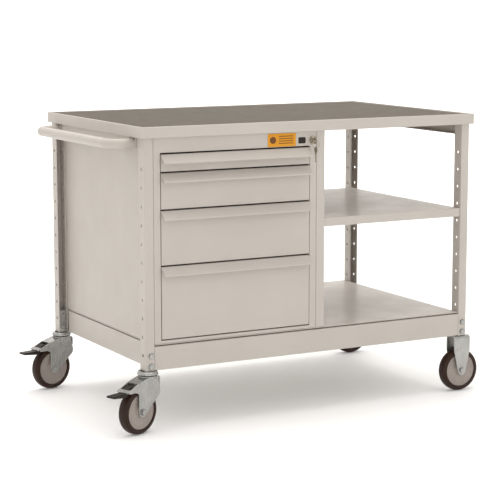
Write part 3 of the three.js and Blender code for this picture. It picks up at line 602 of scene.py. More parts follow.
def c_section(face, inner, bottom, top):
    """A C that opens away from its face: up one flange, along the face and back."""
    line = [(inner, bottom), (face, bottom), (face, top), (inner, top)]
    if face > inner:
        line = line[::-1]
    return folded(line, -RAIL_SHEET, 2.2)


def rail(node, axis, faces_low_side):
    """The C section carried from end to end of its node."""
    low, high = span(node)
    across = 1 if axis == "x" else 0
    face, inner = (low[across], high[across]) if faces_low_side else (high[across], low[across])
    section = c_section(face, inner, low[2], high[2])
    along = 0 if axis == "x" else 1
    piece(node + "_folded", outward(plate(section, axis, low[along], high[along], 0.35)),
          "bench", PAINT, [node])


RAILS = [("base_rail_front", "x", True), ("base_rail_back", "x", False), ("base_rail_left", "y", True),
         ("base_rail_right", "y", False), ("top_rail_left", "y", True), ("top_rail_right", "y", False),
         ("top_rail_back", "x", False)]
for node, axis, faces_low_side in RAILS:
    rail(node, axis, faces_low_side)
print("rails:", len(RAILS))

# %% [markdown]
# The deck, the cabinet's walls and the shelf are flat sheets with turned edges. The deck rests on
# packing that stands back from the rails' edges, which leaves a dark line along their tops. The
# shelf is a shallow tray upside down, and its front left corner is cut out round the post.

# %% Deck, shelf and cabinet walls
for node, axis in (("cabinet_side_left", "x"), ("cabinet_side_right", "x"), ("cabinet_back", "y"),
                   ("cabinet_floor", "z")):
    low, high = span(node)
    piece(node + "_sheet", outward(slab(low, high, axis, 2.0, 0.6)), "bench", PAINT, [node])

PACKING_SETBACK, PACKING_HEIGHT = 9.0, 2.8
low, high = span("bottom_deck")
under_z, over_z = low[2] + PACKING_HEIGHT, high[2]
deck_profile = [(PACKING_SETBACK, low[2]), (PACKING_SETBACK, under_z), (0.6, under_z), (0.1, under_z + 0.3),
                (0.0, under_z + 0.8), (0.0, over_z - 1.6), (0.5, over_z - 0.5), (1.6, over_z)]
piece("bottom_deck_sheet", outward(tray(low, high, "z", deck_profile, 3.0)), "bench", PAINT, ["bottom_deck"])

SHELF_SHEET, SHELF_BEND = 2.0, 2.2
low, high = span("mid_shelf")
notch = span("bay_post_front")[1][:2] + 0.6
shelf_plan = np.array([[low[0], notch[1]], [notch[0], notch[1]], [notch[0], low[1]],
                       [high[0], low[1]], [high[0], high[1]], [low[0], high[1]]])
FOLD = np.linspace(0, np.pi / 2, 4)
shelf_rings = [lay(drawn_in(shelf_plan, SHELF_SHEET), low[2], "z"), lay(shelf_plan, low[2], "z")]
shelf_rings += [lay(drawn_in(shelf_plan, SHELF_BEND * (1 - math.cos(a))),
                    high[2] - SHELF_BEND * (1 - math.sin(a)), "z") for a in FOLD]
shelf_rings.insert(0, lay(drawn_in(shelf_plan, SHELF_SHEET), high[2] - SHELF_SHEET, "z"))
piece("mid_shelf_tray", outward(loft(shelf_rings)), "bench", PAINT, ["mid_shelf"])
print("shelf, mm:", np.round(high - low, 1))

# %% [markdown]
# The worktop is a steel tray round a chipboard core. Its rim is folded over and stands a little
# above the mat, so that nothing rolls off. The mat is cut with soft corners and lies inside.

# %% Worktop
RIM = 6.0
RIM_ROUND = 1.8
TRAY_SHEET = 2.0
low, high = span("worktop_tray")
floor_z, top_z = low[2], high[2]
quarter = np.linspace(0, np.pi / 2, 5)
over_outside = [(RIM_ROUND * (1 - math.cos(a)), top_z - RIM_ROUND * (1 - math.sin(a))) for a in quarter]
over_inside = [(RIM - RIM_ROUND * (1 - math.sin(a)), top_z - RIM_ROUND * (1 - math.cos(a))) for a in quarter]
under = [(RIM_ROUND * (1 - math.sin(a)), floor_z + RIM_ROUND * (1 - math.cos(a))) for a in quarter]
tray_profile = under + over_outside + over_inside + [(RIM, floor_z + TRAY_SHEET)]
piece("worktop_tray_folded", outward(tray(low, high, "z", tray_profile, 4.0)), "bench", PAINT,
      ["worktop_tray"])
low, high = span("worktop_mat")
piece("worktop_mat_sheet", outward(slab(low, high, "z", 3.0, 0.8)), "bench", MAT, ["worktop_mat"])


def refinish(node, finish):
    """A node of the frame keeps its shape and gets a better material."""
    materials = frame["nodes"][node].data.materials
    materials.clear()
    materials.append(finish["material"])


refinish("worktop_board", CHIPBOARD)
print("mat, mm:", np.round(high - low, 1))

# %% [markdown]
# The cabinet's face is one folded frame round the four drawers. It is a ring of rounded rectangles
# that runs from the outer edge across the face, round the fold, into the opening and back.

# %% Cabinet face
FACE_SHEET = 1.5
low, high = span("cabinet_face")
drawer_low, drawer_high = span("drawer_front_4")[0], span("drawer_front_1")[1]
PLAY_BESIDE, PLAY_ABOVE = 1.5, 3.0
opening_low = np.array([drawer_low[0] - PLAY_BESIDE, drawer_low[2] - PLAY_ABOVE])
opening_high = np.array([drawer_high[0] + PLAY_BESIDE, drawer_high[2] + PLAY_ABOVE])
outer_low, outer_high = low[[0, 2]], high[[0, 2]]


def face_ring(grow, depth, of="opening"):
    """A ring of the face: the opening made larger by grow, or the outer edge made smaller by it."""
    if of == "opening":
        return lay(rectangle(opening_low - grow, opening_high + grow, 1.2 + grow), depth, "y")
    return lay(rectangle(outer_low + grow, outer_high - grow, 1.6), depth, "y")


face_rings = [face_ring(0.0, low[1] + FACE_SHEET, "outer"), face_ring(0.0, low[1] + 0.9, "outer"),
              face_ring(0.3, low[1] + 0.25, "outer"), face_ring(0.9, low[1], "outer"),
              face_ring(1.6, low[1]), face_ring(0.45, low[1] + 0.4), face_ring(0.0, low[1] + 1.5),
              face_ring(0.0, high[1]), face_ring(FACE_SHEET, high[1]),
              face_ring(FACE_SHEET, low[1] + FACE_SHEET)]
piece("cabinet_face_folded", outward(loft(face_rings, closed=True)), "bench", PAINT, ["cabinet_face"])
print("opening for the drawers, mm:", np.round(opening_high - opening_low, 1))

# %% [markdown]
# A drawer front is a shallow pan with a grip along its top: a slanted lip that runs down and
# outwards, closed at both ends by small triangular cheeks. Fingers go under it. The box behind is an
# open tray with a folded rail on each side.

# %% Drawer fronts
GRIP_REACH, GRIP_DROP, GRIP_HEM = 20.0, 21.0, 3.0
PAN_SHEET, PAN_DEPTH, PAN_BEND = 1.5, 15.0, 1.4
FOLD_LOSS = 1.2                   # the fold along the top edge makes the gap above it look wider


def drawer_front(number):
    """The pan is rounded rectangles stacked from its inside to its face. The grip is a folded line
    carried across it, with a cheek at each end."""
    low, high = span(f"drawer_front_{number}")
    high[2] -= FOLD_LOSS
    face_y = high[1] - PAN_DEPTH
    body = f"drawer_{number}"
    inner = [(PAN_SHEET, face_y + PAN_SHEET), (PAN_SHEET, high[1] - 0.3), (PAN_SHEET - 0.3, high[1])]
    outer = [(0.3, high[1]), (0.0, high[1] - 0.3)]
    front = [(PAN_BEND * (1 - math.cos(a)), face_y + PAN_BEND * (1 - math.sin(a))) for a in FOLD]
    pan = tray(low, high, "y", inner + outer + front, 1.6)
    piece(f"drawer_front_{number}_pan", outward(pan), body, PAINT, [f"drawer_front_{number}"])

    top = high[2]
    lip_line = [(face_y + 0.6, top - 0.2), (face_y - GRIP_REACH, top - GRIP_DROP),
                (face_y - GRIP_REACH, top - GRIP_DROP - GRIP_HEM)]
    lip = plate(folded(lip_line, PAN_SHEET, 1.8), "x", low[0] + 0.4, high[0] - 0.4, 0.3)
    cheek_line = [(face_y + 0.6, top - 0.4), (face_y - GRIP_REACH + 0.3, top - GRIP_DROP - 0.2),
                  (face_y - GRIP_REACH + 0.3, top - GRIP_DROP - GRIP_HEM + 0.3), (face_y + 0.6, top - 8)]
    cheek = filleted(cheek_line, [0.3, 1.2, 0.8, 0.3], 3)
    cheeks = [plate(cheek, "x", a, a + PAN_SHEET, 0.3) for a in (low[0], high[0] - PAN_SHEET)]
    grip = together(outward(lip), *[outward(c) for c in cheeks])
    piece(f"drawer_grip_{number}", grip, body, PAINT)
    print("drawer", number, "front height, mm:", round(float(high[2] - low[2]), 1))


for number in range(1, 5):
    drawer_front(number)

# %% [markdown]
# The boxes show only when a drawer is pulled out, and the runners behind them hardly at all. A box is
# a tray with a rounded foot and a thin wall. Its rail is a folded strip under each side, and it runs
# in the frame's own ladder of runners, which only gets a zinc finish.

# %% Drawer boxes
BOX_SHEET = 1.2
RAIL_REACH, RAIL_HEIGHT = 12.0, 8.0


def drawer_box(number):
    """A tray, from its inner floor over its rim to its outer floor, and a folded rail each side."""
    low, high = span(f"drawer_box_{number}")
    box_low = low + np.array([RAIL_REACH, 0, 0])
    box_high = high - np.array([RAIL_REACH, 0, 0])
    inside = [(BOX_SHEET + 2.0, low[2] + BOX_SHEET), (BOX_SHEET + 0.5, low[2] + BOX_SHEET + 0.5),
              (BOX_SHEET, low[2] + BOX_SHEET + 2.0), (BOX_SHEET, high[2] - 0.4), (BOX_SHEET - 0.4, high[2])]
    outside = [(0.4, high[2]), (0, high[2] - 0.4), (0, low[2] + 2.0), (0.6, low[2] + 0.6), (2.0, low[2])]
    shapes = [outward(tray(box_low, box_high, "z", inside + outside, 3.0))]
    rail_z = low[2] + 1.8
    for wall, reach in ((box_low[0], -RAIL_REACH), (box_high[0], RAIL_REACH)):
        tip = wall + reach
        line = [(wall, rail_z + RAIL_HEIGHT), (tip, rail_z + RAIL_HEIGHT), (tip, rail_z),
                (wall + reach / 3, rail_z)]
        section = folded(line, BOX_SHEET if reach < 0 else -BOX_SHEET, 1.4)
        shapes.append(outward(plate(section, "y", low[1] + 3, high[1] - 0.5, 0.25)))
    piece(f"drawer_box_{number}_tray", together(*shapes), f"drawer_{number}", PAINT,
          [f"drawer_box_{number}"])


for number in range(1, 5):
    drawer_box(number)
for side in ("left", "right"):
    refinish(f"runner_ladder_{side}", ZINC)
print("pieces so far:", piece_count)

# %% [markdown]
# The push handle is one length of tube, bent at both ends and welded to flanges that are bolted
# through the top rail. A bent tube keeps its round section, so a circle is carried along a line with
# arcs in it.

# %% Push handle
low, high = span("push_handle")
HANDLE_RADIUS = 14.0
HANDLE_Z = 772.0
HANDLE_BEND = 44.0
FLANGE_HALF = 19.0
front_y, back_y = low[1] + FLANGE_HALF, high[1] - FLANGE_HALF
outer_x = low[0] + HANDLE_RADIUS
root_x = high[0] - 0.6
handle_line = [(root_x, front_y), (outer_x, front_y), (outer_x, back_y), (root_x, back_y)]
handle_path = filleted(handle_line, HANDLE_BEND, 18, closed=False)
handle_path = np.column_stack([handle_path, np.full(len(handle_path), HANDLE_Z)])
tube = carried(circle(HANDLE_RADIUS, 40), handle_path)
piece("push_handle_tube", outward(tube), "bench", PAINT, ["push_handle"])


def flange_with_weld(y):
    """A flange plate with a round weld bead where the tube meets it."""
    flange = slab((root_x - 2.4, y - FLANGE_HALF, low[2] + 1.7),
                  (root_x + 0.5, y + FLANGE_HALF, high[2]), "x", 3.0, 0.6)
    t = np.linspace(0, np.pi, 7)
    bead = np.column_stack([HANDLE_RADIUS + 2.0 * np.sin(t), -1.8 * np.cos(t)])
    bead = np.concatenate([bead, [[HANDLE_RADIUS - 0.8, 1.8], [HANDLE_RADIUS - 0.8, -1.8]]])
    weld = turned(bead, (root_x - 4.0, y, HANDLE_Z), "x", 40)
    return together(outward(flange), outward(weld))


piece("push_handle_flanges", together(flange_with_weld(front_y), flange_with_weld(back_y)), "bench", PAINT)
print("handle reach, mm:", round(root_x - outer_x, 1))

# %% [markdown]
# Four casters come next. The left pair swivels and has a brake, and the right pair is fixed. Their
# parts are made once in a caster's own axes, stem on Z and wheel trailing along -X. A small class
# reads from the joints where each caster stands and how far it is turned, and puts the parts there.

# %% Where the casters stand
CHEEK_GAP, CHEEK = 36.0, 3.0
BASE_Z = span("base_rail_front")[0][2]
FORK_TOP = span("caster_mount_front_left")[0][2] - 2.5
joint_of = {joint["name"]: joint for joint in frame["joints"]}


class Caster:
    """Where a caster stands, which way it is turned, and how its own millimetres are placed."""

    def __init__(self, end, side):
        self.place = f"{end}_{side}"
        spin = joint_of[f"wheel_{self.place}_spin"]
        self.axle = (np.array(spin["pos_m"]) - CORNER) / MM
        self.turn = math.atan2(-spin["axis"][0], spin["axis"][1])
        self.swivels = side == "left"
        if self.swivels:
            pivot = joint_of[f"swivel_{self.place}_turn"]["pos_m"]
            self.stem = (np.array(pivot) - CORNER) / MM
        else:
            self.stem = self.axle.copy()
        self.stem[2] = 0.0
        self.trail = -float(np.linalg.norm((self.axle - self.stem)[:2]))
        self.fork_body = f"swivel_{self.place}" if self.swivels else "bench"
        self.wheel_body = f"wheel_{self.place}"

    def put(self, shape, turned_with_it=True):
        """Turns and moves a shape from the caster's own axes, stem on Z and trail along -X. What
        stays with the frame when the caster swivels is moved but not turned."""
        points, quads, caps = shape
        if not turned_with_it:
            return points + self.stem, quads, caps
        c, s = math.cos(self.turn), math.sin(self.turn)
        turn = np.array([[c, s, 0], [-s, c, 0], [0, 0, 1]])
        return points @ turn + self.stem, quads, caps


CASTERS = [Caster(end, side) for end in ("front", "back") for side in ("left", "right")]
print("turned about the stem, degrees:", {c.place: round(math.degrees(c.turn), 1) for c in CASTERS})

# %% [markdown]
# A wheel is two turned parts. The tyre's tread is slightly crowned and rolls over into its side. The
# centre has a rim, a shallow groove, a flat web and a thread guard round the hub. Only one side of
# it is listed: the other side is the same points with the offset's sign changed.

# %% Wheels
WHEEL_RADIUS, TREAD_CROWN, TREAD_HALF = 62.1, 2.6, 12.4


def wheel(caster):
    """Profiles of (radius, offset) turned about the axle. The tread's radius is the wheel's radius
    less crown x |t| ^ 3.2, and the tyre's side bulges by a sine."""
    place = (caster.trail, 0, caster.axle[2])
    t = np.linspace(-1, 1, 17)
    crown = np.column_stack([WHEEL_RADIUS - TREAD_CROWN * np.abs(t) ** 3.2, TREAD_HALF * t])
    shoulder = np.linspace(0, 1, 5)[1:]
    side = np.column_stack([59.6 - 10.4 * shoulder, TREAD_HALF + 2.9 * np.sin(shoulder * np.pi / 1.7)])
    profile = np.concatenate([side[::-1] * (1, -1), crown, side, [[48.6, 12.0], [48.6, -12.0]]])
    tyre = turned(profile, place, "y", 96)
    piece(f"tyre_{caster.place}_rubber", caster.put(outward(tyre)), caster.wheel_body, TYRE,
          [f"tyre_{caster.place}"], 50)
    rim = [(48.4, 12.6), (46.8, 13.6), (45.2, 13.4), (44.0, 12.2), (42.5, 11.9), (40.0, 12.0)]
    web = [(39.2, 12.7), (38.2, 12.7), (37.4, 12.0), (30.0, 11.9), (28.6, 12.5), (27.2, 11.9)]
    guard = [(18.6, 11.8), (17.4, 12.4), (16.6, 14.8), (15.6, 16.3), (14.0, 16.5), (6.4, 16.5)]
    half = np.array(rim + web + guard)
    centre = turned(np.concatenate([half, half[::-1] * (1, -1)]), place, "y", 96)
    piece(f"wheel_centre_{caster.place}", caster.put(outward(centre)), caster.wheel_body, WHEEL,
          [f"wheel_hub_{caster.place}"], 30)


for caster in CASTERS:
    wheel(caster)
print("wheels:", len(CASTERS), "of", 2 * WHEEL_RADIUS, "mm")

# %% [markdown]
# Every fastener that shows is a hexagon head on a washer. The head is six sides with a chamfer that
# brings it round at the top. It is made once along +Z and turned to wherever a bolt points.

# %% Bolts
def hexagon_head(across=15.0, height=5.5, washer=9.5):
    """A chamfered hexagon on a thin washer, standing along +Z from zero."""
    six = circle(across / math.sqrt(3), 6)
    dense = np.concatenate([six[i] + np.linspace(0, 1, 4)[:3, None] * (np.roll(six, -1, 0)[i] - six[i])
                            for i in range(6)])
    inner = dense / np.linalg.norm(dense, axis=1)[:, None] * (across / 2 * 0.93)
    head = loft([lay(dense, 1.4, "z"), lay(dense, height - 1.1, "z"),
                 lay(0.97 * dense, height - 0.5, "z"), lay(inner, height, "z")])
    ring = turned([(4.0, 0), (washer, 0), (washer, 1.0), (washer - 0.4, 1.4), (4.0, 1.4)], sides=28)
    return together(outward(head), outward(ring))


def pointed(shape, at, towards):
    """A shape built along +Z, turned to point along a row axis or any direction, and moved."""
    points, quads, caps = shape
    towards = np.array(towards, float) / np.linalg.norm(towards)
    side = np.cross(towards, (0, 0, 1.0))
    side = np.array([1.0, 0, 0]) if np.linalg.norm(side) < 1e-6 else side / np.linalg.norm(side)
    over = np.cross(towards, side)
    return points @ np.stack([side, over, towards]) + np.array(at, float), quads, caps


print("faces of one bolt head:", len(hexagon_head()[1]))

# %% [markdown]
# A swivel fork is pressed from one sheet: two cheeks, a top between them that slopes down over the
# horn, and a bar across the horn's end. It is built as those parts, each a plate or a folded strip
# that meets the next, with a round collar on top that turns in the mount's ring.

# %% Swivel forks
HALF_GAP = CHEEK_GAP / 2
CHEEK_OUT = HALF_GAP + CHEEK
TIP_RADIUS = 14.0


def swivel_cheek(caster):
    """The cheek's outline: a horn over the wheel on the left, and a leg down to a round tip."""
    axle_x, axle_z = caster.trail, caster.axle[2]
    t = np.linspace(math.radians(190), math.radians(335), 17)
    tip = np.column_stack([axle_x + TIP_RADIUS * np.cos(t), axle_z + TIP_RADIUS * np.sin(t)])
    corners = [(27.6, FORK_TOP - 0.2), (-22, FORK_TOP - 0.2), (-60, 140.8), (-91.6, 126.6), (-91.6, 118.4),
               (-66, 118.4), (axle_x - 13.8, 113), tuple(tip[0])]
    start = filleted(corners, [5, 8, 30, 4, 4, 4, 8, 0], 5)
    end = filleted([tuple(tip[-1]), (27.6, 104), (27.6, 120)], [0, 18, 0], 6, closed=False)
    return np.concatenate([start[:-1], tip, end[1:-1]])


def swivel_fork(caster):
    """Two cheeks, the sheet between their tops, a bar across the horn's end, and the collar."""
    outline = swivel_cheek(caster)
    shapes = [plate(outline, "y", HALF_GAP, CHEEK_OUT, 1.4, 4),
              plate(outline, "y", -CHEEK_OUT, -HALF_GAP, 1.4, 4)]
    crown = folded([(27.2, 126.0), (27.2, FORK_TOP - 0.4), (-22, FORK_TOP - 0.4), (-58, 141.4)], 3.0, 6.0)
    shapes.append(plate(crown, "y", -HALF_GAP - 1.4, HALF_GAP + 1.4, 0.3))
    bar = folded([(-88.0, 129.2), (-98.0, 124.8), (-98.0, 121.6)], 2.0, 1.6)
    shapes.append(plate(bar, "y", -CHEEK_OUT + 0.3, CHEEK_OUT - 0.3, 0.3))
    collar = [(0.1, 146.0), (24.0, 146.0), (25.0, 148.0), (25.0, FORK_TOP + 1.4), (24.2, FORK_TOP + 2.0),
              (0.1, FORK_TOP + 2.0)]
    shapes.append(turned(collar, closed=False, sides=56))
    piece(f"fork_{caster.place}_stamped", caster.put(together(*[outward(s) for s in shapes])),
          caster.fork_body, ZINC, [f"fork_{caster.place}"], 50)


for caster in CASTERS:
    if caster.swivels:
        swivel_fork(caster)
        print("swivel fork:", caster.place, "trail, mm:", round(-caster.trail, 1))

# %% [markdown]
# A fixed fork is a strap bent over the wheel, with both legs tapering to the axle. It is one section
# carried along the strap's line, and only its width changes on the way. That keeps the bends
# smooth, which two plates and a lid would not.

# %% Fixed forks
FIXED_BEND = 9.0
TIP_REACH = 13.95                 # a little less than the radius, so that the tip keeps some width


def fixed_fork(caster):
    """One strap bent over the wheel. Its section is a thin rectangle that stands across the strap's
    line, and its half width follows the height: round at the tip, a taper, then straight."""
    axle_z, top = caster.axle[2], BASE_Z - 0.5
    foot = axle_z - TIP_REACH
    line = [(-CHEEK_OUT, foot), (-CHEEK_OUT, top), (CHEEK_OUT, top), (CHEEK_OUT, foot)]
    route = filleted(line, FIXED_BEND, 10, closed=False)
    below = foot + TIP_REACH * (1 - np.cos(np.linspace(0, np.pi / 2, 9)))
    up = np.concatenate([below, [axle_z + 20, axle_z + 50, 117, 119, 122, 126, 135, 150]])
    leg = np.column_stack([np.full(len(up), -CHEEK_OUT), up])
    route = np.concatenate([leg, route[1:-1], (leg * (-1, 1))[::-1]])
    z = route[:, 1]
    tip = np.sqrt(np.maximum(TIP_RADIUS ** 2 - np.minimum(z - axle_z, 0) ** 2, 0.2))
    taper = np.interp(z, [axle_z, 117, 122, 126], [TIP_RADIUS, 26.9, 27.6, 27.8])
    half = np.where(z < axle_z, tip, taper)
    step = np.gradient(route, axis=0)
    step = step / np.linalg.norm(step, axis=1)[:, None]
    normal = np.column_stack([step[:, 1], -step[:, 0]])
    section = rectangle((-1, 0), (1, 1), 0.3, 3)
    across = np.sign(section[:, 0]) * np.abs(section[:, 0]) ** 0.5
    x = half[:, None] * across[None, :]
    inward = CHEEK * section[:, 1]
    y = route[:, :1] + normal[:, :1] * inward[None, :]
    height = route[:, 1:] + normal[:, 1:] * inward[None, :]
    piece(f"fork_{caster.place}_strap", caster.put(outward(loft(np.stack([x, y, height], -1)))),
          caster.fork_body, ZINC, [f"fork_{caster.place}"], 50)


for caster in CASTERS:
    if not caster.swivels:
        fixed_fork(caster)
        print("fixed fork:", caster.place)

# %% [markdown]
# Above each fork a square stem goes up into the upright. A swivel caster also has a rolled ring that
# holds its ball race. Under it a thin black ring stands for the shade in the groove between ring and
# fork: painted shade. The axle is a plain bolt through cheeks and wheel. The stem and ring stay with
# the frame, so they aren't turned.

# %% Mount rings, axles and stems
def mount_ring(caster):
    """The stem in the upright and, on a swivel caster, the ring that holds the ball race: a rolled
    lip over a black ring that is painted shade for the groove, and a neck up to the frame."""
    shapes = [outward(slab((-10.5, -14.0, BASE_Z - 0.6), (10.5, 14.0, BASE_Z + 44.5), "z", 2.0, 0.8))]
    if caster.swivels:
        ring = [(20.0, 156.2), (26.8, 156.2), (28.0, 156.8), (28.5, 158.4), (28.5, 160.4), (28.0, 162.0),
                (26.8, 163.2), (26.0, 163.8), (25.6, 166.4), (20.0, 166.4)]
        shapes.append(outward(turned(ring)))
        # A black ring under the race ring: painted shade, standing for the dark groove between ring and
        # fork.
        groove_shade_ring = [(19.0, 154.4), (26.0, 154.4), (27.0, 155.2), (26.6, 156.0), (19.0, 156.0)]
        piece(f"race_groove_shade_{caster.place}", caster.put(outward(turned(groove_shade_ring)), False), "bench", PEDAL)
    stands_for = [f"caster_mount_{caster.place}"] if caster.swivels else []
    piece(f"caster_stem_{caster.place}", caster.put(together(*shapes), False), "bench", ZINC, stands_for)


def axle(caster):
    """The axle bolt: a shank through wheel and cheeks, a head on one side and a nut on the other."""
    at, half = (caster.trail, 0, caster.axle[2]), CHEEK_OUT
    shank = turned([(0.1, -half), (5.8, -half), (5.8, half), (0.1, half)], at, "y", 32, closed=False)
    head = pointed(hexagon_head(15, 6.0, 8.8), np.array(at) + (0, -half, 0), (0, -1, 0))
    nut = pointed(hexagon_head(15, 6.0, 8.8), np.array(at) + (0, half, 0), (0, 1, 0))
    piece(f"axle_{caster.place}_bolt", caster.put(together(outward(shank), head, nut)),
          caster.fork_body, ZINC, [f"axle_{caster.place}"])


for caster in CASTERS:
    mount_ring(caster)
    axle(caster)
print("stems and axles:", len(CASTERS))

# %% [markdown]
# The brake: a black pedal that lies in the horn and sticks out beyond it, with ribs that a shoe can
# find. It turns about a pin near its inner end.

# %% Brake pedals
for caster in [c for c in CASTERS if c.swivels]:
    pedal_line = [(-64, 135.4), (-72, 135.8), (-95, 124.8), (-101, 121.2), (-142, 120.8), (-145.6, 117.4),
                  (-140, 114.4), (-106, 110.9), (-94, 110.0), (-74.4, 121.0), (-64, 127.4)]
    radii = [1.5, 6, 8, 8, 3, 1.8, 3, 12, 8, 6, 2]
    pedal = plate(filleted(pedal_line, radii, 4), "y", -12.8, 12.8, 1.2)
    ribs = [slab((x - 1.3, -11.0, 119.6), (x + 1.3, 11.0, 120.98), "z", 0.8, 0.4)
            for x in np.linspace(-110, -136, 5)]
    shape = together(outward(pedal), *[outward(rib) for rib in ribs])
    piece(f"brake_pedal_{caster.place}_tread", caster.put(shape), f"brake_{caster.place}", PEDAL,
          [f"brake_pedal_{caster.place}"])
    print("pedal:", caster.place)

# %% [markdown]
# The lock is a nickel case with a rolled rim, pressed into the header, and a barrel that turns in it.
# Both are turned parts, so a profile of radius and depth is all they need.

# %% Lock
low, high = span("lock_case")
lock_x, lock_z = (low[0] + high[0]) / 2, (low[2] + high[2]) / 2
rim_y = low[1]
case = [(6.4, 20.0), (9.3, 20.0), (9.3, 3.2), (11.3, 3.0), (11.4, 1.2), (10.6, 0.2), (8.6, 0.0),
        (7.2, 0.6), (6.4, 1.2)]
piece("lock_case_turned", outward(turned(case, (lock_x, rim_y, lock_z), "y", 48)), "bench", NICKEL,
      ["lock_case"])
low, high = span("lock_barrel")
barrel = [(0.1, 0.4), (5.2, 0.4), (5.9, 1.2), (5.9, 18.0), (0.1, 18.0)]
piece("lock_barrel_turned", outward(turned(barrel, (lock_x, low[1], lock_z), "y", 40, closed=False)),
      "lock_barrel", NICKEL, ["lock_barrel"])
print("lock at, mm:", round(float(lock_x), 1), round(float(lock_z), 1))

# %% [markdown]
# The keys are stamped from flat plate: a round bow and a cut blade. One sticks out of the barrel,
# and the spare one hangs from it on a wire ring.

# %% Keys
def key_outline(bow, blade, width):
    """A round bow on the left of the origin, and a blade with three cuts to the right."""
    half = width / 2
    shoulder = math.asin(half / bow)
    t = np.linspace(shoulder, 2 * math.pi - shoulder, 36)
    head = np.column_stack([-bow + bow * np.cos(t), bow * np.sin(t)])
    lower = [(0.5 * blade, -half), (0.58 * blade, -half + 1.2), (0.66 * blade, -half),
             (0.8 * blade, -half + 1.0), (blade - 1.5, -half), (blade, -half + 1.6)]
    upper = [(blade, half - 1.6), (blade - 1.6, half)]
    return np.concatenate([head, lower, upper])


def key_plate(node, pointing_down):
    """A key in the plane across X, in the box of its node."""
    low, high = span(node)
    bow = (high[2] - low[2]) / 2 if not pointing_down else (high[1] - low[1]) / 2
    length = (high[1] - low[1]) if not pointing_down else (high[2] - low[2])
    outline = key_outline(bow - 0.05, length - 2 * bow, 6.0)
    if pointing_down:
        middle = (low[1] + high[1]) / 2
        outline = np.column_stack([middle + outline[:, 1], high[2] - 2 * bow - outline[:, 0]])
    else:
        outline = np.column_stack([low[1] + 2 * bow + outline[:, 0], (low[2] + high[2]) / 2 + outline[:, 1]])
    return outward(plate(outline, "x", low[0], high[0], 0.25))


piece("lock_key_plate", key_plate("lock_key", False), "lock_barrel", NICKEL, ["lock_key"])
piece("spare_key_plate", key_plate("spare_key", True), "spare_key", NICKEL, ["spare_key"])
low, high = span("key_ring")
ring_radius = (high[0] - low[0]) / 2 - 0.9
wire = circle(0.85, 12) + (ring_radius, 0)
piece("key_ring_wire", outward(turned(wire, (low + high) / 2, "y", 64)), "spare_key", NICKEL,
      ["key_ring"])
print("key ring radius, mm:", round(float(ring_radius), 1))

# %% [markdown]
# The header carries an amber label and a small dark tag. Both are plain: the label has a dot and
# four blank bars, which stand for wording without being any.

# %% Label and tag
low, high = span("label_plate")
piece("label_film", outward(slab(low, high, "y", 2.0, 0.1)), "bench", LABEL, ["label_plate"])
print_front, print_back = low[1] - 0.12, low[1] + 0.05
middle_z = (low[2] + high[2]) / 2
dot_place = (low[0] + 16, print_front, middle_z)
dot = turned([(0.1, 0), (9.5, 0), (9.5, 0.15), (0.1, 0.15)], dot_place, "y", 40, False)
BAR_PITCH, BAR_HEIGHT = 6.4, 2.2
bar_feet = middle_z + 9 - BAR_PITCH * np.arange(4)
bars = [slab((low[0] + 34, print_front, z), (high[0] - 8, print_back, z + BAR_HEIGHT), "y", 0.8, 0.03)
        for z in bar_feet]
piece("label_marks", together(outward(dot), *[outward(b) for b in bars]), "bench", INK)
TAG_LEFT, TAG_RIGHT, TAG_BOTTOM, TAG_TOP = 467.0, 490.0, 757.0, 774.0
tag = slab((TAG_LEFT, low[1], TAG_BOTTOM), (TAG_RIGHT, low[1] + 0.5, TAG_TOP), "y", 3.0, 0.15)
piece("blank_tag", outward(tag), "bench", PEDAL)
print("label, mm:", np.round(high - low, 1))

# %% [markdown]
# Fasteners: two zinc bolts at the foot of each upright and two through each handle flange. The rear
# left upright shows the bracket that holds its caster, so it gets one, with its own two bolts.

# %% Bolts on the frame
web_bolts, flange_bolts = [], []
for node, towards in (("upright_front_left", -1), ("upright_front_right", -1),
                      ("upright_back_left", 1), ("upright_back_right", 1)):
    low, high = span(node)
    bolt_x = low[0] + 16.0 if node.endswith("left") else high[0] - 13.5
    web_y = low[1] if towards < 0 else high[1]
    for z in (low[2] + 12.0, low[2] + 40.5):
        web_bolts.append(pointed(hexagon_head(13, 5.0, 9.0), (bolt_x, web_y, z), (0, towards, 0)))
piece("upright_foot_bolts", together(*web_bolts), "bench", ZINC)
for y in (front_y, back_y):
    for offset in (-12.5, 12.5):
        place = (root_x - 2.4, y + offset, HANDLE_Z + 11)
        flange_bolts.append(pointed(hexagon_head(8, 3.4, 4.4), place, (-1, 0, 0)))
piece("handle_bolts", together(*flange_bolts), "bench", ZINC)

low, high = span("upright_back_left")
bracket_y = low[1] + 4.0
bracket = slab((low[0] + 2.4, bracket_y, low[2] + 1), (high[0] - 2.4, bracket_y + 3.0, low[2] + 66),
               "y", 2.0, 0.8)
middle_x = (low[0] + high[0]) / 2
bracket_bolts = [pointed(hexagon_head(11, 4.5, 7.5), (middle_x, bracket_y, low[2] + z), (0, -1, 0))
                 for z in (16, 49)]
piece("caster_bracket_back_left", together(outward(bracket), *bracket_bolts), "bench", ZINC)
print("pieces:", piece_count)

# %% [markdown]
# The studio is a pale floor that runs up into a pale backdrop in one curve, so that no horizon
# shows. It is a line with a large fillet, carried sideways, and turned to face the camera.

# %% Floor
def floor_material():
    """Pale card with a faint tone, and a little light of its own so that it stays white."""
    material, tree, shader = start_material("studio_floor", (0.97, 0.97, 0.97), 0.75)
    grain = pattern(tree, "ShaderNodeTexNoise", 6, Detail=2.0)
    tone = blended(tree, between(tree, grain.outputs["Fac"], 0, 1), (0.97, 0.97, 0.97),
                   (0.955, 0.955, 0.955))
    tree.links.new(tone, shader.inputs["Base Color"])
    shader.inputs["Emission Color"].default_value = (1, 1, 1, 1)
    shader.inputs["Emission Strength"].default_value = 0.09
    return material


